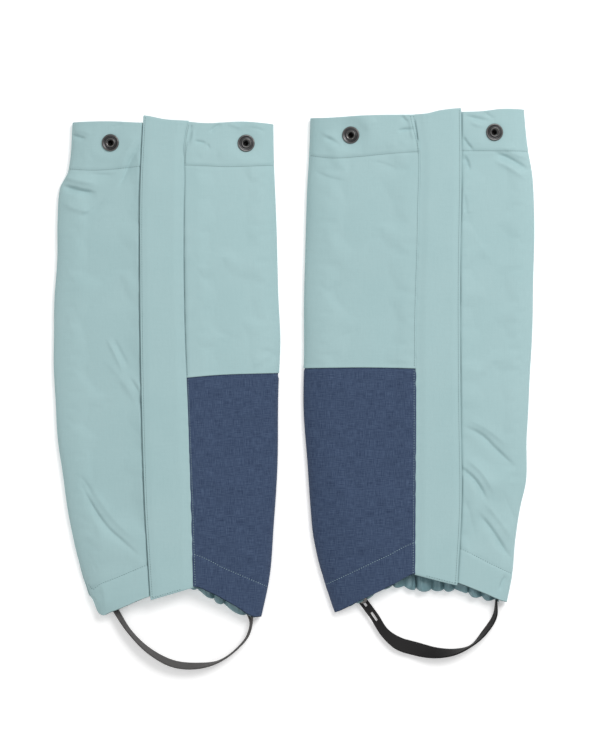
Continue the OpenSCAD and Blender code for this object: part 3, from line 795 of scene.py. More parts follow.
def weave_height(g, cloth, pitch):
    """Plain weave of threads, pitch mm apart, in the cloth's own coordinates."""
    wave = g.node("ShaderNodeSeparateXYZ", {0: cloth})
    parts = wave.node.outputs
    turn = 2 * math.pi / pitch
    warp = g.maths("SINE", g.maths("MULTIPLY", parts[0], turn))
    weft = g.maths("SINE", g.maths("MULTIPLY", parts[1], turn))
    return g.maths("MULTIPLY", warp, weft)


def cloth_coordinates(g):
    """Place on the cloth in mm: along it from the zip, and up the leg."""
    return g.node("ShaderNodeUVMap", uv_map="cloth")


def shell_cloth():
    """Fine matt shell cloth: soft teal with a faint mottle and a tight plain weave."""
    g = Graph("shell_cloth")
    cloth = cloth_coordinates(g)
    wide = g.noise(cloth, 0.016, 2)
    fine = g.noise(cloth, 0.35, 4)
    thread_x = g.noise(g.stretch(cloth, 1.6, 0.05), 1.0, 2)
    thread_y = g.noise(g.stretch(cloth, 0.05, 1.6), 1.0, 2)
    threads = g.maths("ADD", thread_x, thread_y)
    base = g.mix(wide, colour(158, 189, 191), colour(168, 196, 198))
    base = g.mix(g.maths("MULTIPLY", fine, 0.12), base, colour(140, 172, 176))
    base = g.mix(g.maths("MULTIPLY", g.maths("SUBTRACT", threads, 0.85), 0.22), base, colour(120, 156, 160))
    weave = weave_height(g, cloth, 0.62)
    normal = g.bump(g.maths("ADD", g.maths("MULTIPLY", weave, 0.5), threads), 0.00006, 0.55)
    normal = g.bump(fine, 0.0005, 0.18, normal)
    rough = g.maths("MULTIPLY_ADD", fine, 0.12, 0.66)
    return g.finish(base, rough, normal, sheen=0.08, specular=0.3)


def guard_cloth():
    """Coarse navy canvas of slubby yarns, paler where a yarn rises."""
    g = Graph("guard_cloth")
    cloth = cloth_coordinates(g)
    slub_x = g.noise(g.stretch(cloth, 2.2, 0.12), 1.0, 3, 0.6)
    slub_y = g.noise(g.stretch(cloth, 0.12, 2.2), 1.0, 3, 0.6)
    wide = g.noise(cloth, 0.03, 3)
    yarns = g.maths("ADD", slub_x, slub_y)
    level = g.node("ShaderNodeMapRange", {"Value": yarns, "From Min": 0.78, "From Max": 1.24})
    base = g.mix(level, colour(36, 52, 80), colour(74, 92, 120))
    base = g.mix(g.maths("MULTIPLY", wide, 0.3), base, colour(54, 70, 98))
    weave = weave_height(g, cloth, 1.05)
    normal = g.bump(g.maths("ADD", g.maths("MULTIPLY", weave, 0.6), yarns), 0.00016, 0.7)
    return g.finish(base, 0.78, normal, sheen=0.05, specular=0.28)


def lining_cloth_with_painted_shade():
    """Coated inner side of the shell cloth, shinier; darker partly for the coating and partly as painted shade for
    the heel hem's place under the front.
    """
    g = Graph("lining_cloth_with_painted_shade")
    cloth = cloth_coordinates(g)
    wide = g.noise(cloth, 0.08, 3)
    fine = g.noise(cloth, 0.9, 3)
    # painted shade: both colours sit below the shell's teal, partly for the coating and partly for the shade the
    # hem lies in under the front
    base = g.mix(wide, colour(76, 112, 120), colour(140, 174, 181))
    normal = g.bump(g.maths("ADD", fine, weave_height(g, cloth, 0.8)), 0.0001, 0.3)
    return g.finish(base, g.maths("MULTIPLY_ADD", fine, 0.2, 0.28), normal, sheen=0.05)


def thread(name, shade):
    """Twisted sewing thread."""
    g = Graph(name)
    place = g.node("ShaderNodeTexCoord", out=3)
    twist = g.noise(place, 2600, 1)
    base = g.mix(twist, shade, tuple(c * 0.75 for c in shade[:3]) + (1,))
    return g.finish(base, 0.7, g.bump(twist, 0.00008, 0.6), sheen=0.1)


def strap_rubber(name, dark, light):
    """Matt rubber with a faint grain, fine ribs along it and dusty wear."""
    g = Graph(name)
    cloth = cloth_coordinates(g)
    grain = g.noise(cloth, 1.4, 4)
    dust = g.noise(cloth, 0.12, 4, 0.6)
    across = g.node("ShaderNodeSeparateXYZ", {0: cloth})
    ribs = g.maths("SINE", g.maths("MULTIPLY", across, 2 * math.pi / 1.2))
    base = g.mix(dust, dark, light)
    normal = g.bump(g.maths("ADD", grain, g.maths("MULTIPLY", ribs, 0.25)), 0.00012, 0.5)
    return g.finish(base, g.maths("MULTIPLY_ADD", dust, 0.2, 0.5), normal, specular=0.12)


def metal(name, dark, light, rough=0.34):
    """Plated metal, brighter where edges have worn."""
    g = Graph(name)
    place = g.node("ShaderNodeTexCoord", out=3)
    wear = g.node("ShaderNodeNewGeometry", out=7)
    edge = g.node("ShaderNodeMapRange", {"Value": wear, "From Min": 0.5, "From Max": 0.62})
    fine = g.noise(place, 900, 4)
    tone = g.noise(place, 7, 1)
    worn = g.mix(tone, dark, tuple(c * 2.2 for c in dark[:3]) + (1,))
    base = g.mix(g.maths("MULTIPLY", edge, 0.8), g.mix(g.maths("MULTIPLY", fine, 0.4), worn, dark), light)
    rough = g.maths("MULTIPLY_ADD", fine, 0.2, rough - 0.1)
    return g.finish(base, rough, g.bump(fine, 0.00005, 0.3), metallic=0.92)


def tape_cloth(name, dark, light, pitch=0.9):
    """Narrow woven tape; in other colours, the face of hook-and-loop tape."""
    g = Graph(name)
    place = g.node("ShaderNodeTexCoord", out=3)
    mm = g.stretch(place, 1000, 1000, 1000)
    weave = weave_height(g, mm, pitch)
    fine = g.noise(mm, 0.8, 3)
    base = g.mix(g.maths("MULTIPLY_ADD", weave, 0.35, fine), dark, light)
    return g.finish(base, 0.8, g.bump(weave, 0.0001, 0.6), sheen=0.1)


def moulded(name, dark, light):
    """Moulded plastic with a satin skin."""
    g = Graph(name)
    place = g.node("ShaderNodeTexCoord", out=3)
    fine = g.noise(place, 1500, 3)
    base = g.mix(fine, dark, light)
    return g.finish(base, g.maths("MULTIPLY_ADD", fine, 0.15, 0.35), g.bump(fine, 0.00004, 0.3))


TEAL = shell_cloth()
NAVY = guard_cloth()
# thread painted darker than the cloth's own teal: painted shade of the needle holes along each row of stitches
TEAL_THREAD_PAINTED_SHADE = thread("teal_thread_painted_shade", colour(48, 80, 86))
PALE_THREAD = thread("pale_thread", colour(168, 196, 200))
# One rubber for both straps: the left copy is lighter and the right darker, partly painted light and shade for how
# each lies to the light and partly the left's dusty cut edge against the right's smooth face
RUBBER = {"left": strap_rubber("strap_rubber_left_dusty_and_lit", colour(66, 65, 65), colour(90, 88, 87)),
          "right": strap_rubber("strap_rubber_right_smooth_and_shaded", colour(24, 23, 24), colour(38, 37, 37))}
GUNMETAL = metal("gunmetal", colour(62, 62, 63), colour(170, 166, 162), 0.36)
# cap metal painted near-black: painted shade for the dark hole of each socket, where the cap's post shows
CAP_METAL_PAINTED_SHADE = metal("cap_metal_painted_shade", colour(22, 21, 22), colour(70, 68, 67), 0.5)
STEEL = metal("bright_wire", colour(120, 120, 122), colour(220, 220, 222), 0.25)
ZIP_TAPE = tape_cloth("zip_tape", colour(88, 122, 127), colour(122, 156, 160))
# heel hem cloth, darker partly as painted shade
LINING_WITH_PAINTED_SHADE = lining_cloth_with_painted_shade()
HOOK_LOOP = tape_cloth("hook_and_loop", colour(96, 130, 134), colour(128, 160, 163), 0.7)
ZIP_PLASTIC = moulded("zip_plastic", colour(84, 116, 122), colour(104, 138, 142))


# ------------------------------------------------------------------------------- panels

def settle(thing, leg, body, slot, *nodes):
    """The piece rides on a body and stands for its CAD nodes; slot is not used."""
    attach(thing, leg.side + "_" + body)
    if nodes:
        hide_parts(*[leg.side + "_" + node for node in nodes])


def panel(name, leg, y0, q, lift, material):
    """Cloth sheet over a grid of stations and places."""
    y0, q, lift = np.broadcast_arrays(y0, q, lift)
    uv = np.stack([leg.arc(y0, q), leg.at(y0, q)[..., 1]], -1)
    return sheet(name, leg, leg.at(y0, q, lift), leg.at(y0, q, lift - CLOTH), uv, material)


def wrap_q(leg, y0, side):
    """Place q a little way behind a fold, where the side seam is."""
    return side * (1 + SIDE_WRAP / leg.lengths(y0)[..., 3 if side > 0 else 1])


def outer_panel(leg):
    """Panel from the zip round the outer fold."""
    y0 = np.linspace(leg.height, 0, 420)[:, None]
    _, start = leg.find(np.full_like(y0, -ZIP_GAP), leg.at(y0, -0.07)[..., 1])
    share = np.linspace(1, 0, 132)[None, :]
    q = start + (wrap_q(leg, y0, -1) - start) * share
    cloth = panel(leg.side + "_outer_shell", leg, y0, q, 0.0 * share, TEAL)
    post_holes(leg, cloth, "outer")
    settle(cloth, leg, "shell", "shell_cloth", "outer_panel")


def inner_half(name, leg, y_from, y_to, rows, material, lift_row):
    """Inner panel or ankle guard: low under the flap, a turned edge at the seam, then the front and fold."""
    y0 = np.linspace(y_from, y_to, rows)[:, None]
    y = leg.at(y0, 0.12)[..., 1]
    seam = smooth(FLAP_SEAM[leg.side], y)
    offset = np.array([[-0.55, -0.3, -0.1, 0.1, 0.35, 0.8, 1.6, 2.8, 4.5]])
    under = np.linspace(0, 1, 4)[None, :-1]
    x = np.concatenate([ZIP_GAP + (seam - 0.9 - ZIP_GAP) * under, seam + offset], 1)
    _, q_near = leg.find(x, np.broadcast_to(y, x.shape))
    share = np.linspace(0, 1, 104)[None, 1:]
    last = q_near[:, -1:]
    q = np.concatenate([q_near, last + (wrap_q(leg, y0, 1) - last) * share], 1)
    past = np.concatenate([x - seam, np.full((rows, share.size), 9.0)], 1)
    lift = -1.7 + 1.8 * step(-0.5, 0.15, past)
    y0 = y0 + 0 * q
    tip = np.exp(-np.abs(y0 - GUARD_Y) / 12)
    y0 = y0 + tip * (smooth(GUARD_TOP[leg.side], leg.at(y0, q)[..., 0]) - GUARD_Y)
    return panel(name, leg, np.clip(y0, 0, leg.height), q, lift + lift_row(y0), material)


def inner_panel(leg):
    """Panel above the ankle guard; its foot stands over the guard's top."""
    low = GUARD_Y - 0.2
    cloth = inner_half(leg.side + "_inner_shell", leg, leg.height, low, 240, TEAL,
                       lambda y0: 0.3 * (1 - step(low, low + 3.5, y0)))
    post_holes(leg, cloth, "inner")
    settle(cloth, leg, "shell", "shell_cloth", "inner_panel")


def ankle_guard(leg):
    """Navy panel on the inner ankle; its top runs under the inner panel."""
    high = GUARD_Y + 2.5
    cloth = inner_half(leg.side + "_guard", leg, high, 0, 160, NAVY,
                       lambda y0: -0.85 * step(high - 5.5, high - 2.8, y0))
    settle(cloth, leg, "shell", "guard_cloth", "ankle_guard")


def back_panel(leg):
    """Back of the leg tube, between the two side seams."""
    y0 = np.linspace(leg.height, 10, 220)[:, None]
    share = np.linspace(0, 1, 60)[None, :]
    inner = wrap_q(leg, y0, 1) - 0.02
    outer = wrap_q(leg, y0, -1) + 0.02
    q = np.concatenate([inner + (2 - inner) * share, -2 + (outer + 2) * share[:, 1:]], 1)
    cloth = panel(leg.side + "_back_shell", leg, y0, q, -CLOTH - 0.1, TEAL)
    settle(cloth, leg, "shell", "shell_cloth", "back_panel")


GATHERS = {               # places of the creases between the elastic hem's gathers
    "left": [-62, -50, -38, -27, -15, -4, 6, 15.4, 30, 37.8, 58, 70],
    "right": [-62, -53, -42, -30, -18.3, -9.5, 1.1, 14.3, 24.3, 34.3, 45, 58, 66, 76]}


def gathers(edges, at, seed):
    """Elastic gathers: lobes of uneven height and lean between the creases, 0 in a crease."""
    draw = np.random.default_rng(seed)
    edges = np.array(edges, float)
    tall = draw.uniform(0.55, 1.0, len(edges))
    lean = draw.uniform(0.6, 1.7, len(edges))
    steep = draw.uniform(0.35, 0.9, len(edges))
    k = np.clip(np.searchsorted(edges, at) - 1, 0, len(edges) - 2)
    t = np.clip((at - edges[k]) / (edges[k + 1] - edges[k]), 0, 1) ** lean[k]
    return tall[k] * np.clip(4 * t * (1 - t), 0, 1) ** steep[k]


HEM_SPAN = {"left": (-58, 64), "right": (-56, 72)}     # ends of the gathered hem
HEM_HALF = 11.0           # half its height up the leg
HEM_Z = 5.2               # middle of its thickness, over the floor
HEM_TOP = 11.5            # it rises no higher than this, to stay under the front


def heel_hem(leg):
    """Gathered casing of the heel; it also stands for the elastic that runs inside it."""
    x_from, x_to = HEM_SPAN[leg.side]
    x = np.linspace(x_from, x_to, 520)[:, None]
    lobe = gathers(GATHERS[leg.side], x, leg.seed + 20)
    turn = np.linspace(0, 2 * np.pi, 48, endpoint=False)[None, :]
    ends = step(x_from, x_from + 6, x) * (1 - step(x_to - 6, x_to, x))
    deep = 0.35 + 0.65 * step(-0.9, 0.5, -np.cos(turn))
    thick = (0.1 + 5.6 * lobe * deep) * (0.3 + 0.7 * ends) + 0.3
    low = smooth(HEEL_EDGE[leg.side], x) + 3.4 * (1 - lobe)
    lean = ripple(x, 19, leg.seed + 21)
    y = low + HEM_HALF + HEM_HALF * np.cos(turn)
    middle = HEM_Z - 2.4 * (1 - lobe) ** 2 + 0.25 * ripple(x, 5, leg.seed + 22)
    z = middle + thick * np.sign(np.sin(turn)) * np.abs(np.sin(turn)) ** 0.62 + 0.5 * lean * deep
    z = np.clip(z, 0.3, HEM_TOP)
    points = np.stack([x + 1.4 * lean * deep * np.sin(turn), y, z], -1)
    uv = np.stack([np.broadcast_to(x * 1.6, z.shape), y + 0 * z], -1)
    hem = make(leg.side + "_heel_gathers", leg.world(points.reshape(-1, 3)), tube_faces(*z.shape), LINING_WITH_PAINTED_SHADE,
               uv.reshape(-1, 2))
    settle(hem, leg, "shell", "shell_cloth", "heel_hem", "hem_elastic")


# ----------------------------------------------------------------------------- the flap

FLAP_Z = 18.3             # top of the flap, over the zip
FLAP_THICK = 0.6
LINING_THICK = 0.35
SEAM_DROP = 1.05          # the flap is this much lower at its seam
EDGE_DROP = 0.65          # and at its free edge


def flap_z(leg, x, y):
    """Top of the flap: level over the zip, dropping a little to its seam and its free edge."""
    seam = smooth(FLAP_SEAM[leg.side], y)
    edge = smooth(FLAP_EDGE[leg.side], y)
    z = FLAP_Z - SEAM_DROP * step(seam - 9, seam, x) - EDGE_DROP * step(-edge - 7, -edge, -x)
    z = z + 0.16 * ripple(y + 0.6 * x, 70, leg.seed + 30) * step(-edge - 1, -edge - 12, -x)
    z = z + 0.10 * np.exp(-(x - edge) / 4) * ripple(y, 13, leg.seed + 31)
    z = z - 0.2 * step(-0.5, 0.3, x - seam)
    return z + 0.14 * np.exp(-np.abs(seam - x) / 3) * ripple(y, 11, leg.seed + 32)


def flap_grid(leg, inset, rows, columns):
    """Places x, y all over the flap, closer together at its long edges, inset from its rim."""
    t = np.linspace(1, 0, rows)[:, None]
    s = np.linspace(0, 1, columns)[None, :]
    s = s - 0.035 * np.sin(2 * np.pi * s)
    y = leg.height * t
    for _ in range(3):
        seam = smooth(FLAP_SEAM[leg.side], y) + 0.3
        edge = smooth(FLAP_EDGE[leg.side], y) + inset
        x = seam + (edge - seam) * s
        high = smooth(FLAP_TOP[leg.side], x) - inset
        low = smooth(FLAP_LOW[leg.side], x) + inset
        y = low + (high - low) * t
    return x, y


def flap(leg):
    """Face and lining of the storm flap."""
    start = leg.world([leg.hinge_x - 1.2, leg.height / 2, 0])
    end = leg.world([leg.hinge_x - 7.5, leg.height / 2, 0])
    for node, inset, drop, thick in (("flap_face", 0.0, 0.0, FLAP_THICK),
                                     ("flap_lining", 1.1, FLAP_THICK + 0.06, LINING_THICK)):
        x, y = flap_grid(leg, inset, 230, 40)
        z = flap_z(leg, x, y) - drop
        uv = np.stack([x, y], -1) + 300
        top, under = np.stack([x, y, z], -1), np.stack([x, y, z - thick], -1)
        piece = sheet(leg.side + "_storm_" + node, leg, top, under, uv, TEAL, roll=0.5)
        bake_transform(piece)
        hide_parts(leg.side + "_" + node)


PILE = 0.22               # height of the hook-and-loop tapes' pile


def tape_strip(leg, node, body, z_low, z_high):
    """Hook or loop tape: a strip with a dense pile on its face."""
    low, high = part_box(leg.side + "_" + node)
    y_low, y_high = leg.local(low)[1] + 1, leg.local(high)[1] - 1
    edge = smooth(FLAP_EDGE[leg.side], 200)
    y = np.linspace(y_high, y_low, 560)[:, None]
    outer = np.maximum(edge + 2.0, smooth(FLAP_EDGE[leg.side], y) + 2.6)
    x = outer + (edge + 14.5 - outer) * np.linspace(0, 1, 30)[None, :]
    x, y = np.broadcast_arrays(x, y)
    draw = np.random.default_rng(leg.seed + 40)
    dip = PILE - draw.uniform(0, PILE, x.shape)
    face_up = body == "shell"
    top = np.stack([x, y, z_high - dip * face_up], -1)
    under = np.stack([x, y, z_low + dip * (not face_up)], -1)
    strip = sheet(leg.side + "_" + node + "_pile", leg, top, under, np.stack([x, y], -1), HOOK_LOOP, roll=0.2)
    settle(strip, leg, body, "hook_and_loop", node)


# ----------------------------------------------------------------------------- stitches

TOP_STITCH = 391          # the seam's stitches start here, under the knee edge
TOP_TURN = 358            # and above this they slant away from the flap


def cloth_stitches(leg, name, x, y, material, lift=0.0):
    """Stitches in the front, along a line of x and y."""
    points, out = leg.read(*leg.find(x, y))
    row = stitches(leg.side + "_stitch_" + name, leg, points + out * lift, out, material)
    settle(row, leg, "shell", "shell_cloth")


def seam_end(outline, side_sign, seam):
    """Where a cross seam meets the side fold."""
    x = 90.0 * side_sign
    for _ in range(4):
        x = side_sign * smooth(outline, smooth(seam, x))
    return 0.988 * x


def cross_stitches(leg, name, seam, fold, start, count, material, lift=0.0):
    """Stitches of a hem, from the flap to a side fold."""
    end = seam_end(fold[leg.side], 1 if fold is INNER_FOLD else -1, seam[leg.side])
    x = np.linspace(start, end, count)
    cloth_stitches(leg, name, x, smooth(seam[leg.side], x), material, lift)


def shell_stitches(leg):
    """Stitches beside the flap's seam and along both hems."""
    seam, edge = FLAP_SEAM[leg.side], FLAP_EDGE[leg.side]
    y = np.linspace(TOP_STITCH, GUARD_Y + 1, 300)
    cloth_stitches(leg, "seam_upper", smooth(seam, y) + 1.4, y, TEAL_THREAD_PAINTED_SHADE, 0.12)
    y = np.linspace(TOP_STITCH, TOP_TURN, 90)
    slant = 1.6 + 2.6 * step(TOP_TURN, TOP_STITCH, y)
    cloth_stitches(leg, "seam_top", smooth(seam, y) + slant, y, TEAL_THREAD_PAINTED_SHADE, 0.1)
    y = np.linspace(GUARD_Y - 1.5, 0, 260)
    cloth_stitches(leg, "seam_guard", smooth(seam, y) + 1.7, y, PALE_THREAD, 0.12)
    cross_stitches(leg, "knee_outer", KNEE_STITCH, OUTER_FOLD, smooth(edge, 355) + 3, 90, TEAL_THREAD_PAINTED_SHADE)
    cross_stitches(leg, "knee_inner", KNEE_STITCH, INNER_FOLD, smooth(seam, 356) + 1.6, 90, TEAL_THREAD_PAINTED_SHADE, 0.1)
    cross_stitches(leg, "ankle_outer", ANKLE_STITCH, OUTER_FOLD, smooth(edge, 20) + 3, 80, TEAL_THREAD_PAINTED_SHADE)
    cross_stitches(leg, "ankle_inner", ANKLE_STITCH, INNER_FOLD, smooth(seam, 26) + 1.2, 96, PALE_THREAD, 0.1)


def flap_stitches(leg):
    """Edge stitching of the flap, along its free edge and its foot."""
    side = leg.side
    inset = 1.4
    y = np.linspace(smooth(FLAP_TOP[side], -22) - 1, smooth(FLAP_LOW[side], -22) + inset, 320)
    x = smooth(FLAP_EDGE[side], y) + inset
    foot_x = np.linspace(smooth(FLAP_EDGE[side], 0) + inset, leg.hinge_x - 8, 40)
    foot_y = smooth(FLAP_LOW[side], foot_x) + inset
    for name, px, py in (("edge", x, y), ("foot", foot_x, foot_y)):
        points = np.stack([px, py, flap_z(leg, px, py)], -1)
        out = np.zeros_like(points) + np.array([0, 0, 1.0])
        row = stitches(side + "_stitch_flap_" + name, leg, points, out, TEAL_THREAD_PAINTED_SHADE)
        settle(row, leg, "flap", "shell_cloth")


def back_stitches(leg):
    """Stitches of the two side seams."""
    y0 = np.linspace(leg.height - 2, 20, 300)
    for name, sign in (("outer", -1), ("inner", 1)):
        points, out = leg.read(y0, wrap_q(leg, y0, sign) - sign * 0.03)
        row = stitches(leg.side + "_stitch_side_" + name, leg, points, out, TEAL_THREAD_PAINTED_SHADE, sink=0.22)
        settle(row, leg, "shell", "shell_cloth")


# --------------------------------------------------------------------------- hard parts

# Sections of a press stud's parts: (radius, height over the stud's foot), in mm
SOCKET = [(2.6, 0.35), (6.9, 0.35), (7.3, 0.8), (7.35, 1.25), (7.1, 1.75), (6.6, 1.95), (6.0, 1.8),
          (5.2, 1.35), (4.7, 1.3), (4.35, 1.5), (4.2, 2.3), (4.0, 2.75), (3.6, 2.95), (3.2, 2.85),
          (3.05, 2.6), (3.05, 1.8), (4.35, 1.4), (4.35, 0.8), (2.6, 0.8)]
CAP = [(0.01, -1.6), (1.8, -1.6), (1.8, 0.75), (2.4, 0.75), (2.4, -1.2), (6.6, -1.2), (7.0, -1.5),
       (7.0, -1.8), (6.4, -2.0), (0.01, -2.0)]
SPRING = (3.85, 1.15)     # where the ring spring's wire is
SPRING_WIRE = 0.2         # its radius
POST_HOLE_R = 2.55        # radius of the hole in the cloth for a stud's post
SOCKET_DOWN = 2.35        # from a stud's mount point down to its foot


def post_holes(leg, cloth, kind):
    """Cuts the hole that a press stud's post goes through."""
    name = leg.side + "_" + kind + "_press_stud"
    axis = unit(np.array(MOUNTS[name]["axis"], float))
    foot = np.array(MOUNTS[name]["pos_m"]) - axis * STUD_FOOT * MM
    rod = [(0.05, -6), (POST_HOLE_R, -6), (POST_HOLE_R, 3), (0.05, 3)]
    cut(cloth, [lathe("post_hole", rod, foot, axis, TEAL, 32)])


def apply_modifiers(thing):
    """Applies an object's modifiers to its mesh."""
    bpy.context.view_layer.update()
    mesh = bpy.data.meshes.new_from_object(thing.evaluated_get(bpy.context.evaluated_depsgraph_get()))
    thing.modifiers.clear()
    thing.data = mesh


def cut(thing, cutters):
    """Takes closed cutters out of a closed mesh, and removes them."""
    for cutter in cutters:
        modifier = thing.modifiers.new("Cut", "BOOLEAN")
        modifier.operation = "DIFFERENCE"
        modifier.solver = "MANIFOLD"
        modifier.object = cutter
    apply_modifiers(thing)
    for cutter in cutters:
        bpy.data.objects.remove(cutter)


def press_studs(leg):
    """Sockets with their ring springs, and the caps behind the cloth."""
    parts = {"socket": [], "cap": [], "spring": []}
    for name in leg.studs():
        axis = unit(np.array(MOUNTS[name]["axis"], float))
        foot = np.array(MOUNTS[name]["pos_m"]) - axis * SOCKET_DOWN * MM
        parts["socket"].append(lathe("socket", soften(SOCKET, 1), foot, axis, GUNMETAL, 64))
        # the cap's dark metal is painted shade for the socket's hole
        parts["cap"].append(lathe("cap", CAP, foot, axis, CAP_METAL_PAINTED_SHADE, 48))
        ring = [(SPRING[0] + SPRING_WIRE * math.cos(a), SPRING[1] + SPRING_WIRE * math.sin(a))
                for a in np.linspace(0, 2 * np.pi, 10)[:-1]]
        parts["spring"].append(lathe("spring", ring, foot, axis, STEEL, 48))
    for kind, node, slot in (("socket", "snap_sockets", "dark_metal"), ("cap", "snap_caps", "dark_metal"),
                             ("spring", "snap_springs", "spring_steel")):
        joined = join(parts[kind], leg.side + "_stud_" + kind + "s")
        settle(joined, leg, "shell", slot, node)


def join(things, name):
    """One object from several, made in place of them."""
    points, faces, material = [], [], things[0].data.materials[0]
    for thing in things:
        first = len(points)
        points += [tuple(v.co) for v in thing.data.vertices]
        faces += [tuple(v + first for v in face.vertices) for face in thing.data.polygons]
        bpy.data.objects.remove(thing)
    return make(name, points, faces, material)


def bevelled(thing, width):
    """Rounds the edges of a small hard part."""
    modifier = thing.modifiers.new("Bevel", "BEVEL")
    modifier.width = width * MM
    modifier.segments = 2
    modifier.limit_method = "ANGLE"
    modifier.angle_limit = math.radians(40)
    apply_modifiers(thing)
    return thing


def block(low, high):
    """Corners and faces of a box in mm."""
    (x0, y0, z0), (x1, y1, z1) = low, high
    points = [(x, y, z) for z in (z0, z1) for y in (y0, y1) for x in (x0, x1)]
    faces = [(0, 2, 3, 1), (4, 5, 7, 6), (0, 1, 5, 4), (2, 6, 7, 3), (0, 4, 6, 2), (1, 3, 7, 5)]
    return points, faces


def blocks(name, leg, boxes, material, bevel):
    """One part of several boxes, each given by its low and high corner in mm."""
    points, faces = [], []
    for low, high in boxes:
        corner, sides = block(low, high)
        faces += [tuple(v + len(points) for v in side) for side in sides]
        points += corner
    return bevelled(make(name, leg.world(points), faces, material), bevel)


def prism(name, leg, outline, z_low, z_high, material, bevel):
    """Flat part with a given outline, points in order, in mm."""
    n = len(outline)
    points = np.concatenate([np.c_[outline, np.full(n, z_low)], np.c_[outline, np.full(n, z_high)]])
    return bevelled(make(name, leg.world(points), tube_faces(2, n), material), bevel)


TOOTH_PITCH = 4.0         # of each row; the two rows are half a pitch apart
TOOTH_X = (0.35, 2.0)     # from the zip line to a tooth's tip and its root
CORD_HALF = (0.6, 0.75)   # half width and half height of the cord


def zip_cord(leg, name, sign, y, z):
    """Cord that a row of teeth is moulded on, swelling a little at each tooth."""
    turn = np.linspace(0, 2 * np.pi, 13)[:-1]
    y = y[:, None] + 0 * turn
    swell = 1 + 0.06 * np.sin(4 * np.pi * y / TOOTH_PITCH)
    x = sign * (TOOTH_X[1] + CORD_HALF[0] * np.cos(turn) * swell)
    points = np.stack([x, y, z + CORD_HALF[1] * np.sin(turn) + 0 * y], -1)
    return make(name, leg.world(points.reshape(-1, 3)), tube_faces(*y.shape), ZIP_TAPE)


def zip_parts(leg):
    """The two rows of teeth, each tooth with a wider head, and their cords."""
    low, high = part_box(leg.side + "_zip_teeth_inner")
    z_low, tall = low.z / MM, (high.z - low.z) / MM
    y_low, y_high = leg.local(low)[1], leg.local(high)[1]
    count = int((y_high - y_low) / TOOTH_PITCH)
    tip, root = TOOTH_X
    tooth, faces = block((tip, -0.85, 0), (root, 0.85, tall))
    head, head_faces = block((tip, -1.05, 0.25), (tip + 0.7, 1.05, tall - 0.25))
    template = np.array(tooth + head)
    faces = faces + [tuple(v + len(tooth) for v in face) for face in head_faces]
    for name, sign, offset in (("inner", 1, 0.0), ("outer", -1, TOOTH_PITCH / 2)):
        y = y_low + 1 + offset + TOOTH_PITCH * np.arange(count)
        places = leg.world(np.c_[np.zeros(count), y, np.full(count, z_low)])
        frames = np.tile(np.stack([leg.right * sign, leg.up, np.array([0, 0, 1.0])]) * MM, (count, 1, 1))
        row = copies(leg.side + "_teeth_" + name, template, faces, places, frames, ZIP_PLASTIC)
        settle(bevelled(row, 0.22), leg, "shell", "zip_plastic", "zip_teeth_" + name)
        y = np.linspace(y_low, y_high, 120)
        cord = zip_cord(leg, leg.side + "_cord_" + name, sign, y, z_low + tall / 2)
        settle(cord, leg, "shell", "zip_tape")


def slider_body(leg):
    """Slider body: two waisted plates, the wedge between them, the crown and the side flanges."""
    y = leg.local(JOINTS[leg.side + "_puller_hinge"]["pos_m"])[1]
    low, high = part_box(leg.side + "_zip_slider")
    bottom, plate, crown_top = low.z / MM, 1.0, high.z / MM - 0.55
    shoulder, waist, half = 4.0, 2.9, 6.0
    outline = soften([(-shoulder, half - 1), (-shoulder + 1, half), (shoulder - 1, half),
                      (shoulder, half - 1), (shoulder, 1), (waist, -half + 1), (waist - 0.8, -half),
                      (-waist + 0.8, -half), (-waist, -half + 1), (-shoulder, 1)]) + np.array([0, y])
    top_low = high.z / MM - 2.8
    upper = prism("upper", leg, outline, top_low, top_low + plate, GUNMETAL, 0.25)
    lower = prism("lower", leg, outline, bottom, bottom + plate, GUNMETAL, 0.25)
    rest = blocks("crown", leg, [
        ((-0.2, y - 5, bottom + 0.3), (0.2, y + 5, top_low + 0.3)),
        ((-1.4, y - 3, top_low + 0.5), (1.4, y - 1.8, crown_top)),
        ((-1.4, y + 1.8, top_low + 0.5), (1.4, y + 3, crown_top)),
        ((-1.4, y - 3, crown_top - 0.25), (1.4, y + 3, crown_top)),
        ((-4.0, y - 4, top_low - 0.55), (-3.1, y + 5, top_low + 0.2)),
        ((3.1, y - 4, top_low - 0.55), (4.0, y + 5, top_low + 0.2))], GUNMETAL, 0.12)
    settle(join([upper, lower, rest], leg.side + "_slider_body"), leg, "slider", "dark_metal", "zip_slider")


def puller_tongue(leg):
    """Puller: a waisted tongue with an eye that hangs on the slider's crown."""
    _, y, z = leg.local(JOINTS[leg.side + "_puller_hinge"]["pos_m"])
    length, bar, eye, thick = 20.0, 0.32, 4.2, 0.5
    tongue = soften([(-3.2, bar), (3.2, bar), (3.2, -5), (2.4, -7), (2.5, -length + 3), (1.4, -length),
                     (-1.4, -length), (-2.5, -length + 3), (-2.4, -7), (-3.2, -5)])
    hole = soften([(-1.6, -bar), (1.6, -bar), (1.9, -bar - 0.3), (1.9, -eye + 0.3), (1.6, -eye),
                   (-1.6, -eye), (-1.9, -eye + 0.3), (-1.9, -bar - 0.3)], 1)
    puller = plate_with_hole(leg.side + "_puller_tongue", leg, tongue + [0, y], hole + [0, y],
                             z - thick / 2, z + thick / 2, GUNMETAL)
    settle(puller, leg, "puller", "dark_metal", "zip_puller")


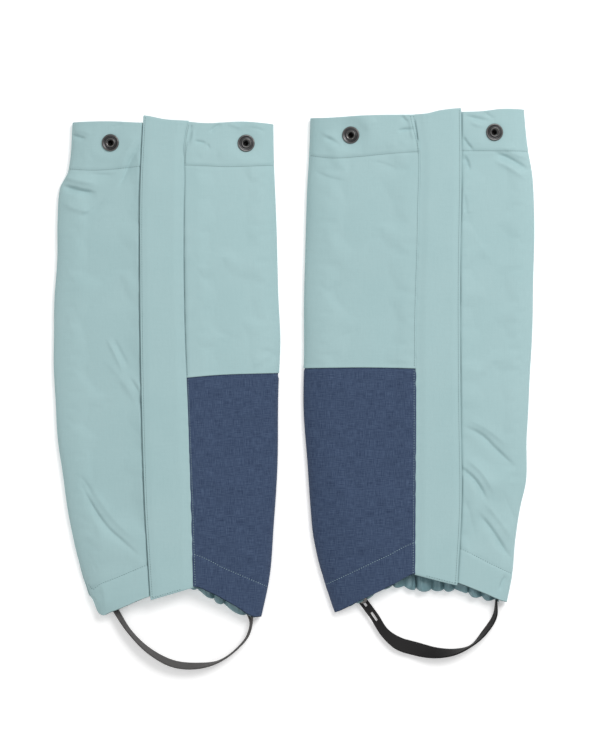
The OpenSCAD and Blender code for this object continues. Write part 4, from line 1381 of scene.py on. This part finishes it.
def plate_with_hole(name, leg, outline, hole, z_low, z_high, material):
    """Flat plate with one hole, filled between its two outlines."""
    mesh = bmesh.new()
    edges = []
    for loop in (outline, hole):
        ring = [mesh.verts.new(leg.world([x, y, z_low])) for x, y in loop]
        edges += [mesh.edges.new((ring[k], ring[(k + 1) % len(ring)])) for k in range(len(ring))]
    filled = bmesh.ops.triangle_fill(mesh, use_beauty=True, use_dissolve=False, edges=edges)
    faces = [f for f in filled["geom"] if isinstance(f, bmesh.types.BMFace)]
    raised = bmesh.ops.extrude_face_region(mesh, geom=faces)
    top = [v for v in raised["geom"] if isinstance(v, bmesh.types.BMVert)]
    bmesh.ops.translate(mesh, verts=top, vec=(0, 0, (z_high - z_low) * MM))
    bmesh.ops.recalc_face_normals(mesh, faces=mesh.faces)
    data = bpy.data.meshes.new(name)
    mesh.to_mesh(data)
    mesh.free()
    data.materials.append(material)
    thing = bpy.data.objects.new(name, data)
    bpy.context.scene.collection.objects.link(thing)
    return bevelled(thing, 0.12)


def strap_fasteners(leg):
    """Button and rivet: a head, a shank of radius 1.5 mm and a base."""
    for node, base_r, head_r in (("strap_button", 4.0, 4.0), ("strap_rivet", 4.5, 3.5)):
        low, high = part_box(leg.side + "_" + node)
        centre = np.array([(low.x + high.x) / 2, (low.y + high.y) / 2, 0])
        z0, z1 = low.z / MM, high.z / MM
        profile = [(0.01, z0), (head_r - 0.6, z0), (head_r, z0 + 0.4), (head_r - 0.2, z0 + 0.9),
                   (1.5, z0 + 1.0), (1.5, z1 - 0.7), (base_r, z1 - 0.7), (base_r, z1 - 0.3),
                   (base_r - 0.4, z1), (0.01, z1)]
        stud = lathe(leg.side + "_" + node + "_stud", profile, centre, (0, 0, 1), GUNMETAL)
        settle(stud, leg, "shell", "dark_metal", node)


# ------------------------------------------------------------------------- instep strap

STRAP_T = 1.3             # thickness
STRAP_ROUND = 0.45        # radius of its edges
STRAP_CLEAR = 0.25        # its lower edge over the floor
STRAP_IN_Z = 4.6          # height of its ends, inside the hem
STRAP_IN_ROLL = 80        # and their roll
STRAP_PATH = {            # (x, y, roll, width): roll is 0 on edge and 90 flat
    "left": [(-54.5, -20, 26, 8.4), (-42.9, -38.5, 13, 10.5), (-24.8, -56.7, 16, 12), (-4.5, -67.4, 22, 12),
             (15.2, -69.2, 18, 12), (32.2, -66.1, 2, 12), (48.7, -55.3, 0, 11), (58.5, -43.5, 6, 9.5),
             (61.2, -33, 14, 8.4), (59.6, -23, 44, 8.2)],
    "right": [(-54.1, -22, 2, 8.2), (-53.2, -33.2, 16, 9), (-44, -48.4, 16, 11), (-31.5, -60.5, 0, 12),
              (-19.9, -64.8, 17, 12), (-4, -66, 42, 12), (15.9, -62.3, 70, 12), (28.5, -58.4, 68, 11.6),
              (40.5, -49.3, 62, 8.8), (49.9, -35, 60, 8.2), (61, -20, 60, 8.2)]}
STRAP_SLOTS = {"left": ((59.1, -41.3), (60.3, -26.2)), "right": ((49.9, -35), (58.9, -22.6))}
STRAP_SLOT_SIZE = (8.5, 2.9)
STRAP_SLOT_ROUND = 0.6     # radius of a slot's corners


def strap_path(side):
    """Middle line of the strap, and its roll, width and share inside the hem at each point."""
    through = np.array(STRAP_PATH[side], float)
    place = np.r_[0, np.cumsum(np.linalg.norm(np.diff(through[:, :2], axis=0), axis=1))]
    at = np.linspace(0, place[-1], 180)
    x, y, roll, width = (smooth(zip(place, through[:, k]), at) for k in range(4))
    loop = np.c_[x, y]
    hidden = np.linspace(0, 1, 14)[1:]
    lead = hidden[:, None]
    path = np.concatenate([loop[0] + lead[::-1] * [0.5, 15], loop, loop[-1] + lead * [1, 13]])
    roll = np.radians(np.r_[roll[0] + (STRAP_IN_ROLL - roll[0]) * hidden[::-1], roll,
                            roll[-1] + (STRAP_IN_ROLL - roll[-1]) * hidden])
    width = np.r_[width[0] + 0 * hidden, width, width[-1] + 0 * hidden]
    return path, roll, width, np.r_[hidden[::-1], 0 * at, hidden]


def strap_section():
    """Rounded section of the strap: share of its half width, then offsets across it and through it, mm."""
    half_t, r = STRAP_T / 2, STRAP_ROUND
    arc = np.radians(np.linspace(0, 90, 4))
    corner = np.c_[1 + 0 * arc, r * np.cos(arc), half_t - r + r * np.sin(arc)]
    face = np.c_[np.linspace(0.85, -0.85, 13), np.zeros(13), np.full(13, half_t)]
    upper = np.concatenate([corner, face, (corner * [-1, -1, 1])[::-1]])
    return np.concatenate([upper, upper * [-1, -1, -1]]).T


def strap(leg):
    """Rubber strap: a loop that twists on its way round, and two leads that hide inside the hem."""
    path, roll, width, inside = strap_path(leg.side)
    along = unit(np.gradient(path, axis=0))
    side = np.stack([along[:, 1], -along[:, 0]], 1)
    share, across, through = strap_section()
    u = share * (width[:, None] / 2 - STRAP_ROUND) + across
    sin, cos = np.sin(roll)[:, None], np.cos(roll)[:, None]
    flat = u * sin + through * cos
    rest = width[:, None] / 2 * cos + STRAP_T / 2 * sin + STRAP_CLEAR
    centre = rest + (STRAP_IN_Z - rest) * step(0, 1, inside)[:, None]
    z = centre + u * cos - through * sin
    points = np.stack([path[:, :1] + side[:, :1] * flat, path[:, 1:] + side[:, 1:] * flat, z], -1)
    distance = np.r_[0, np.cumsum(np.linalg.norm(np.diff(path, axis=0), axis=1))][:, None]
    uv = np.stack([u, distance + 0 * u], -1)
    band = make(leg.side + "_strap_band", leg.world(points.reshape(-1, 3)), tube_faces(*z.shape),
                RUBBER[leg.side], uv.reshape(-1, 2))
    cut_slots(leg, band, path, roll, along, centre[:, 0])
    pivot = leg.local(JOINTS[leg.side + "_strap_swing"]["pos_m"])
    start = leg.world([0, pivot[1] + 7, 0])
    end = leg.world([0, pivot[1] - 3, 0])
    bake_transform(band)
    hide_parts(leg.side + "_instep_strap", leg.side + "_strap_ends")


def cut_slots(leg, band, path, roll, along, centre):
    """Button slots: rounded cutters taken out of the band."""
    cutters = []
    for place in STRAP_SLOTS[leg.side]:
        k = int(np.argmin(np.hypot(*(path - place).T)))
        ahead = np.r_[along[k], 0]
        side = np.array([along[k][1], -along[k][0], 0])
        over = side * math.sin(roll[k]) + np.array([0, 0, math.cos(roll[k])])
        out = np.cross(ahead, over)
        straight = STRAP_SLOT_SIZE[0] / 2 - STRAP_SLOT_ROUND
        narrow = STRAP_SLOT_SIZE[1] / 2 - STRAP_SLOT_ROUND
        ring = [(straight * np.sign(math.cos(e)) + STRAP_SLOT_ROUND * math.cos(e),
                 narrow * np.sign(math.sin(e)) + STRAP_SLOT_ROUND * math.sin(e))
                for e in np.linspace(0, 2 * np.pi, 25)[:-1] + 0.01]
        middle = np.array([path[k][0], path[k][1], centre[k]])
        points = [middle + ahead * p + over * w + out * h for h in (-4, 4) for p, w in ring]
        cutters.append(make("slot_cutter", leg.world(points), tube_faces(2, len(ring)), RUBBER[leg.side]))
    cut(band, cutters)


# --------------------------------------------------------------------------- build all

def carried_over(leg):
    """CAD nodes whose shape is right keep it and get a finished material."""
    for node, material in (("zip_tape_outer", ZIP_TAPE), ("zip_tape_inner", ZIP_TAPE),
                           ("zip_top_stops", ZIP_PLASTIC), ("zip_retainer_box", ZIP_PLASTIC),
                           ("zip_insert_pin", ZIP_PLASTIC)):
        thing = frame["nodes"][leg.side + "_" + node]
        for place in thing.material_slots:
            place.material = material


def build(leg):
    """Every piece of one gaiter."""
    outer_panel(leg)
    inner_panel(leg)
    ankle_guard(leg)
    back_panel(leg)
    heel_hem(leg)
    flap(leg)
    tape_strip(leg, "loop_strip", "shell", 15.25, 15.75)
    tape_strip(leg, "hook_strip", "flap", 15.85, 16.55)
    shell_stitches(leg)
    flap_stitches(leg)
    back_stitches(leg)
    press_studs(leg)
    zip_parts(leg)
    slider_body(leg)
    puller_tongue(leg)
    strap_fasteners(leg)
    strap(leg)
    carried_over(leg)


for side_name in SIDES:
    build(Leg(side_name))


# -------------------------------------------------------------------- floor, light, camera

WORLD_LIGHT = 0.45        # strength of the even white sky
FLOOR_DROP = 0.0004       # the floor is this far under the pair, so that the two don't flicker
FLOOR_GLOW = 0.2          # keeps the pale floor's shadows light
FLOOR_HALF = 6.0          # half the floor's size


def floor():
    """Plain pale floor, just under the pair."""
    mesh = bpy.data.meshes.new("floor")
    corners = [(x * FLOOR_HALF, y * FLOOR_HALF, 0) for x, y in ((-1, -1), (1, -1), (1, 1), (-1, 1))]
    mesh.from_pydata(corners, [], [(0, 1, 2, 3)])
    g = Graph("floor")
    g.finish((1, 1, 1, 1), 0.9, specular=0.0)
    g.set(g.shader.inputs["Emission Color"], (1, 1, 1, 1))
    g.set(g.shader.inputs["Emission Strength"], FLOOR_GLOW)
    mesh.materials.append(g.material)
    thing = bpy.data.objects.new("floor", mesh)
    thing.location.z = -FLOOR_DROP
    bpy.context.scene.collection.objects.link(thing)


def area_light(name, place, size, power):
    """Square soft light that faces the middle of the floor."""
    data = bpy.data.lights.new(name, "AREA")
    data.size = size
    data.energy = power
    thing = bpy.data.objects.new(name, data)
    thing.location = place
    x, y, z = place
    thing.rotation_euler = (math.atan2(math.hypot(x, y), z), 0, math.atan2(x, -y))
    bpy.context.scene.collection.objects.link(thing)


def studio():
    """Soft key light from the top right, a wide fill, and an even white sky."""
    area_light("key", (1.1, 1.3, 2.0), 1.3, 43)
    area_light("fill", (-0.9, -0.6, 2.4), 2.4, 14)
    world = bpy.data.worlds.new("studio")
    world.use_nodes = True
    background = world.node_tree.nodes["Background"]
    background.inputs["Color"].default_value = (1, 1, 1, 1)
    background.inputs["Strength"].default_value = WORLD_LIGHT
    bpy.context.scene.world = world
    bpy.context.scene.view_settings.view_transform = "Standard"


FIELD_H = 0.6375          # height of the floor that the picture covers
CAMERA_UP = 3.012         # the camera looks straight down
PAIR_MIDDLE = 0.012       # height at which the picture's scale holds
AIM = (0.0057, 0.0127)    # the picture's middle, a little above and right of the pair's


def picture():
    """The photo's camera."""
    data = bpy.data.cameras.new("camera")
    data.sensor_fit = "VERTICAL"
    data.sensor_height = 24
    data.lens = data.sensor_height * (CAMERA_UP - PAIR_MIDDLE) / FIELD_H
    camera = bpy.data.objects.new("camera", data)
    camera.location = (*AIM, CAMERA_UP)
    bpy.context.scene.collection.objects.link(camera)
    bpy.context.scene.camera = camera


floor()
studio()
picture()
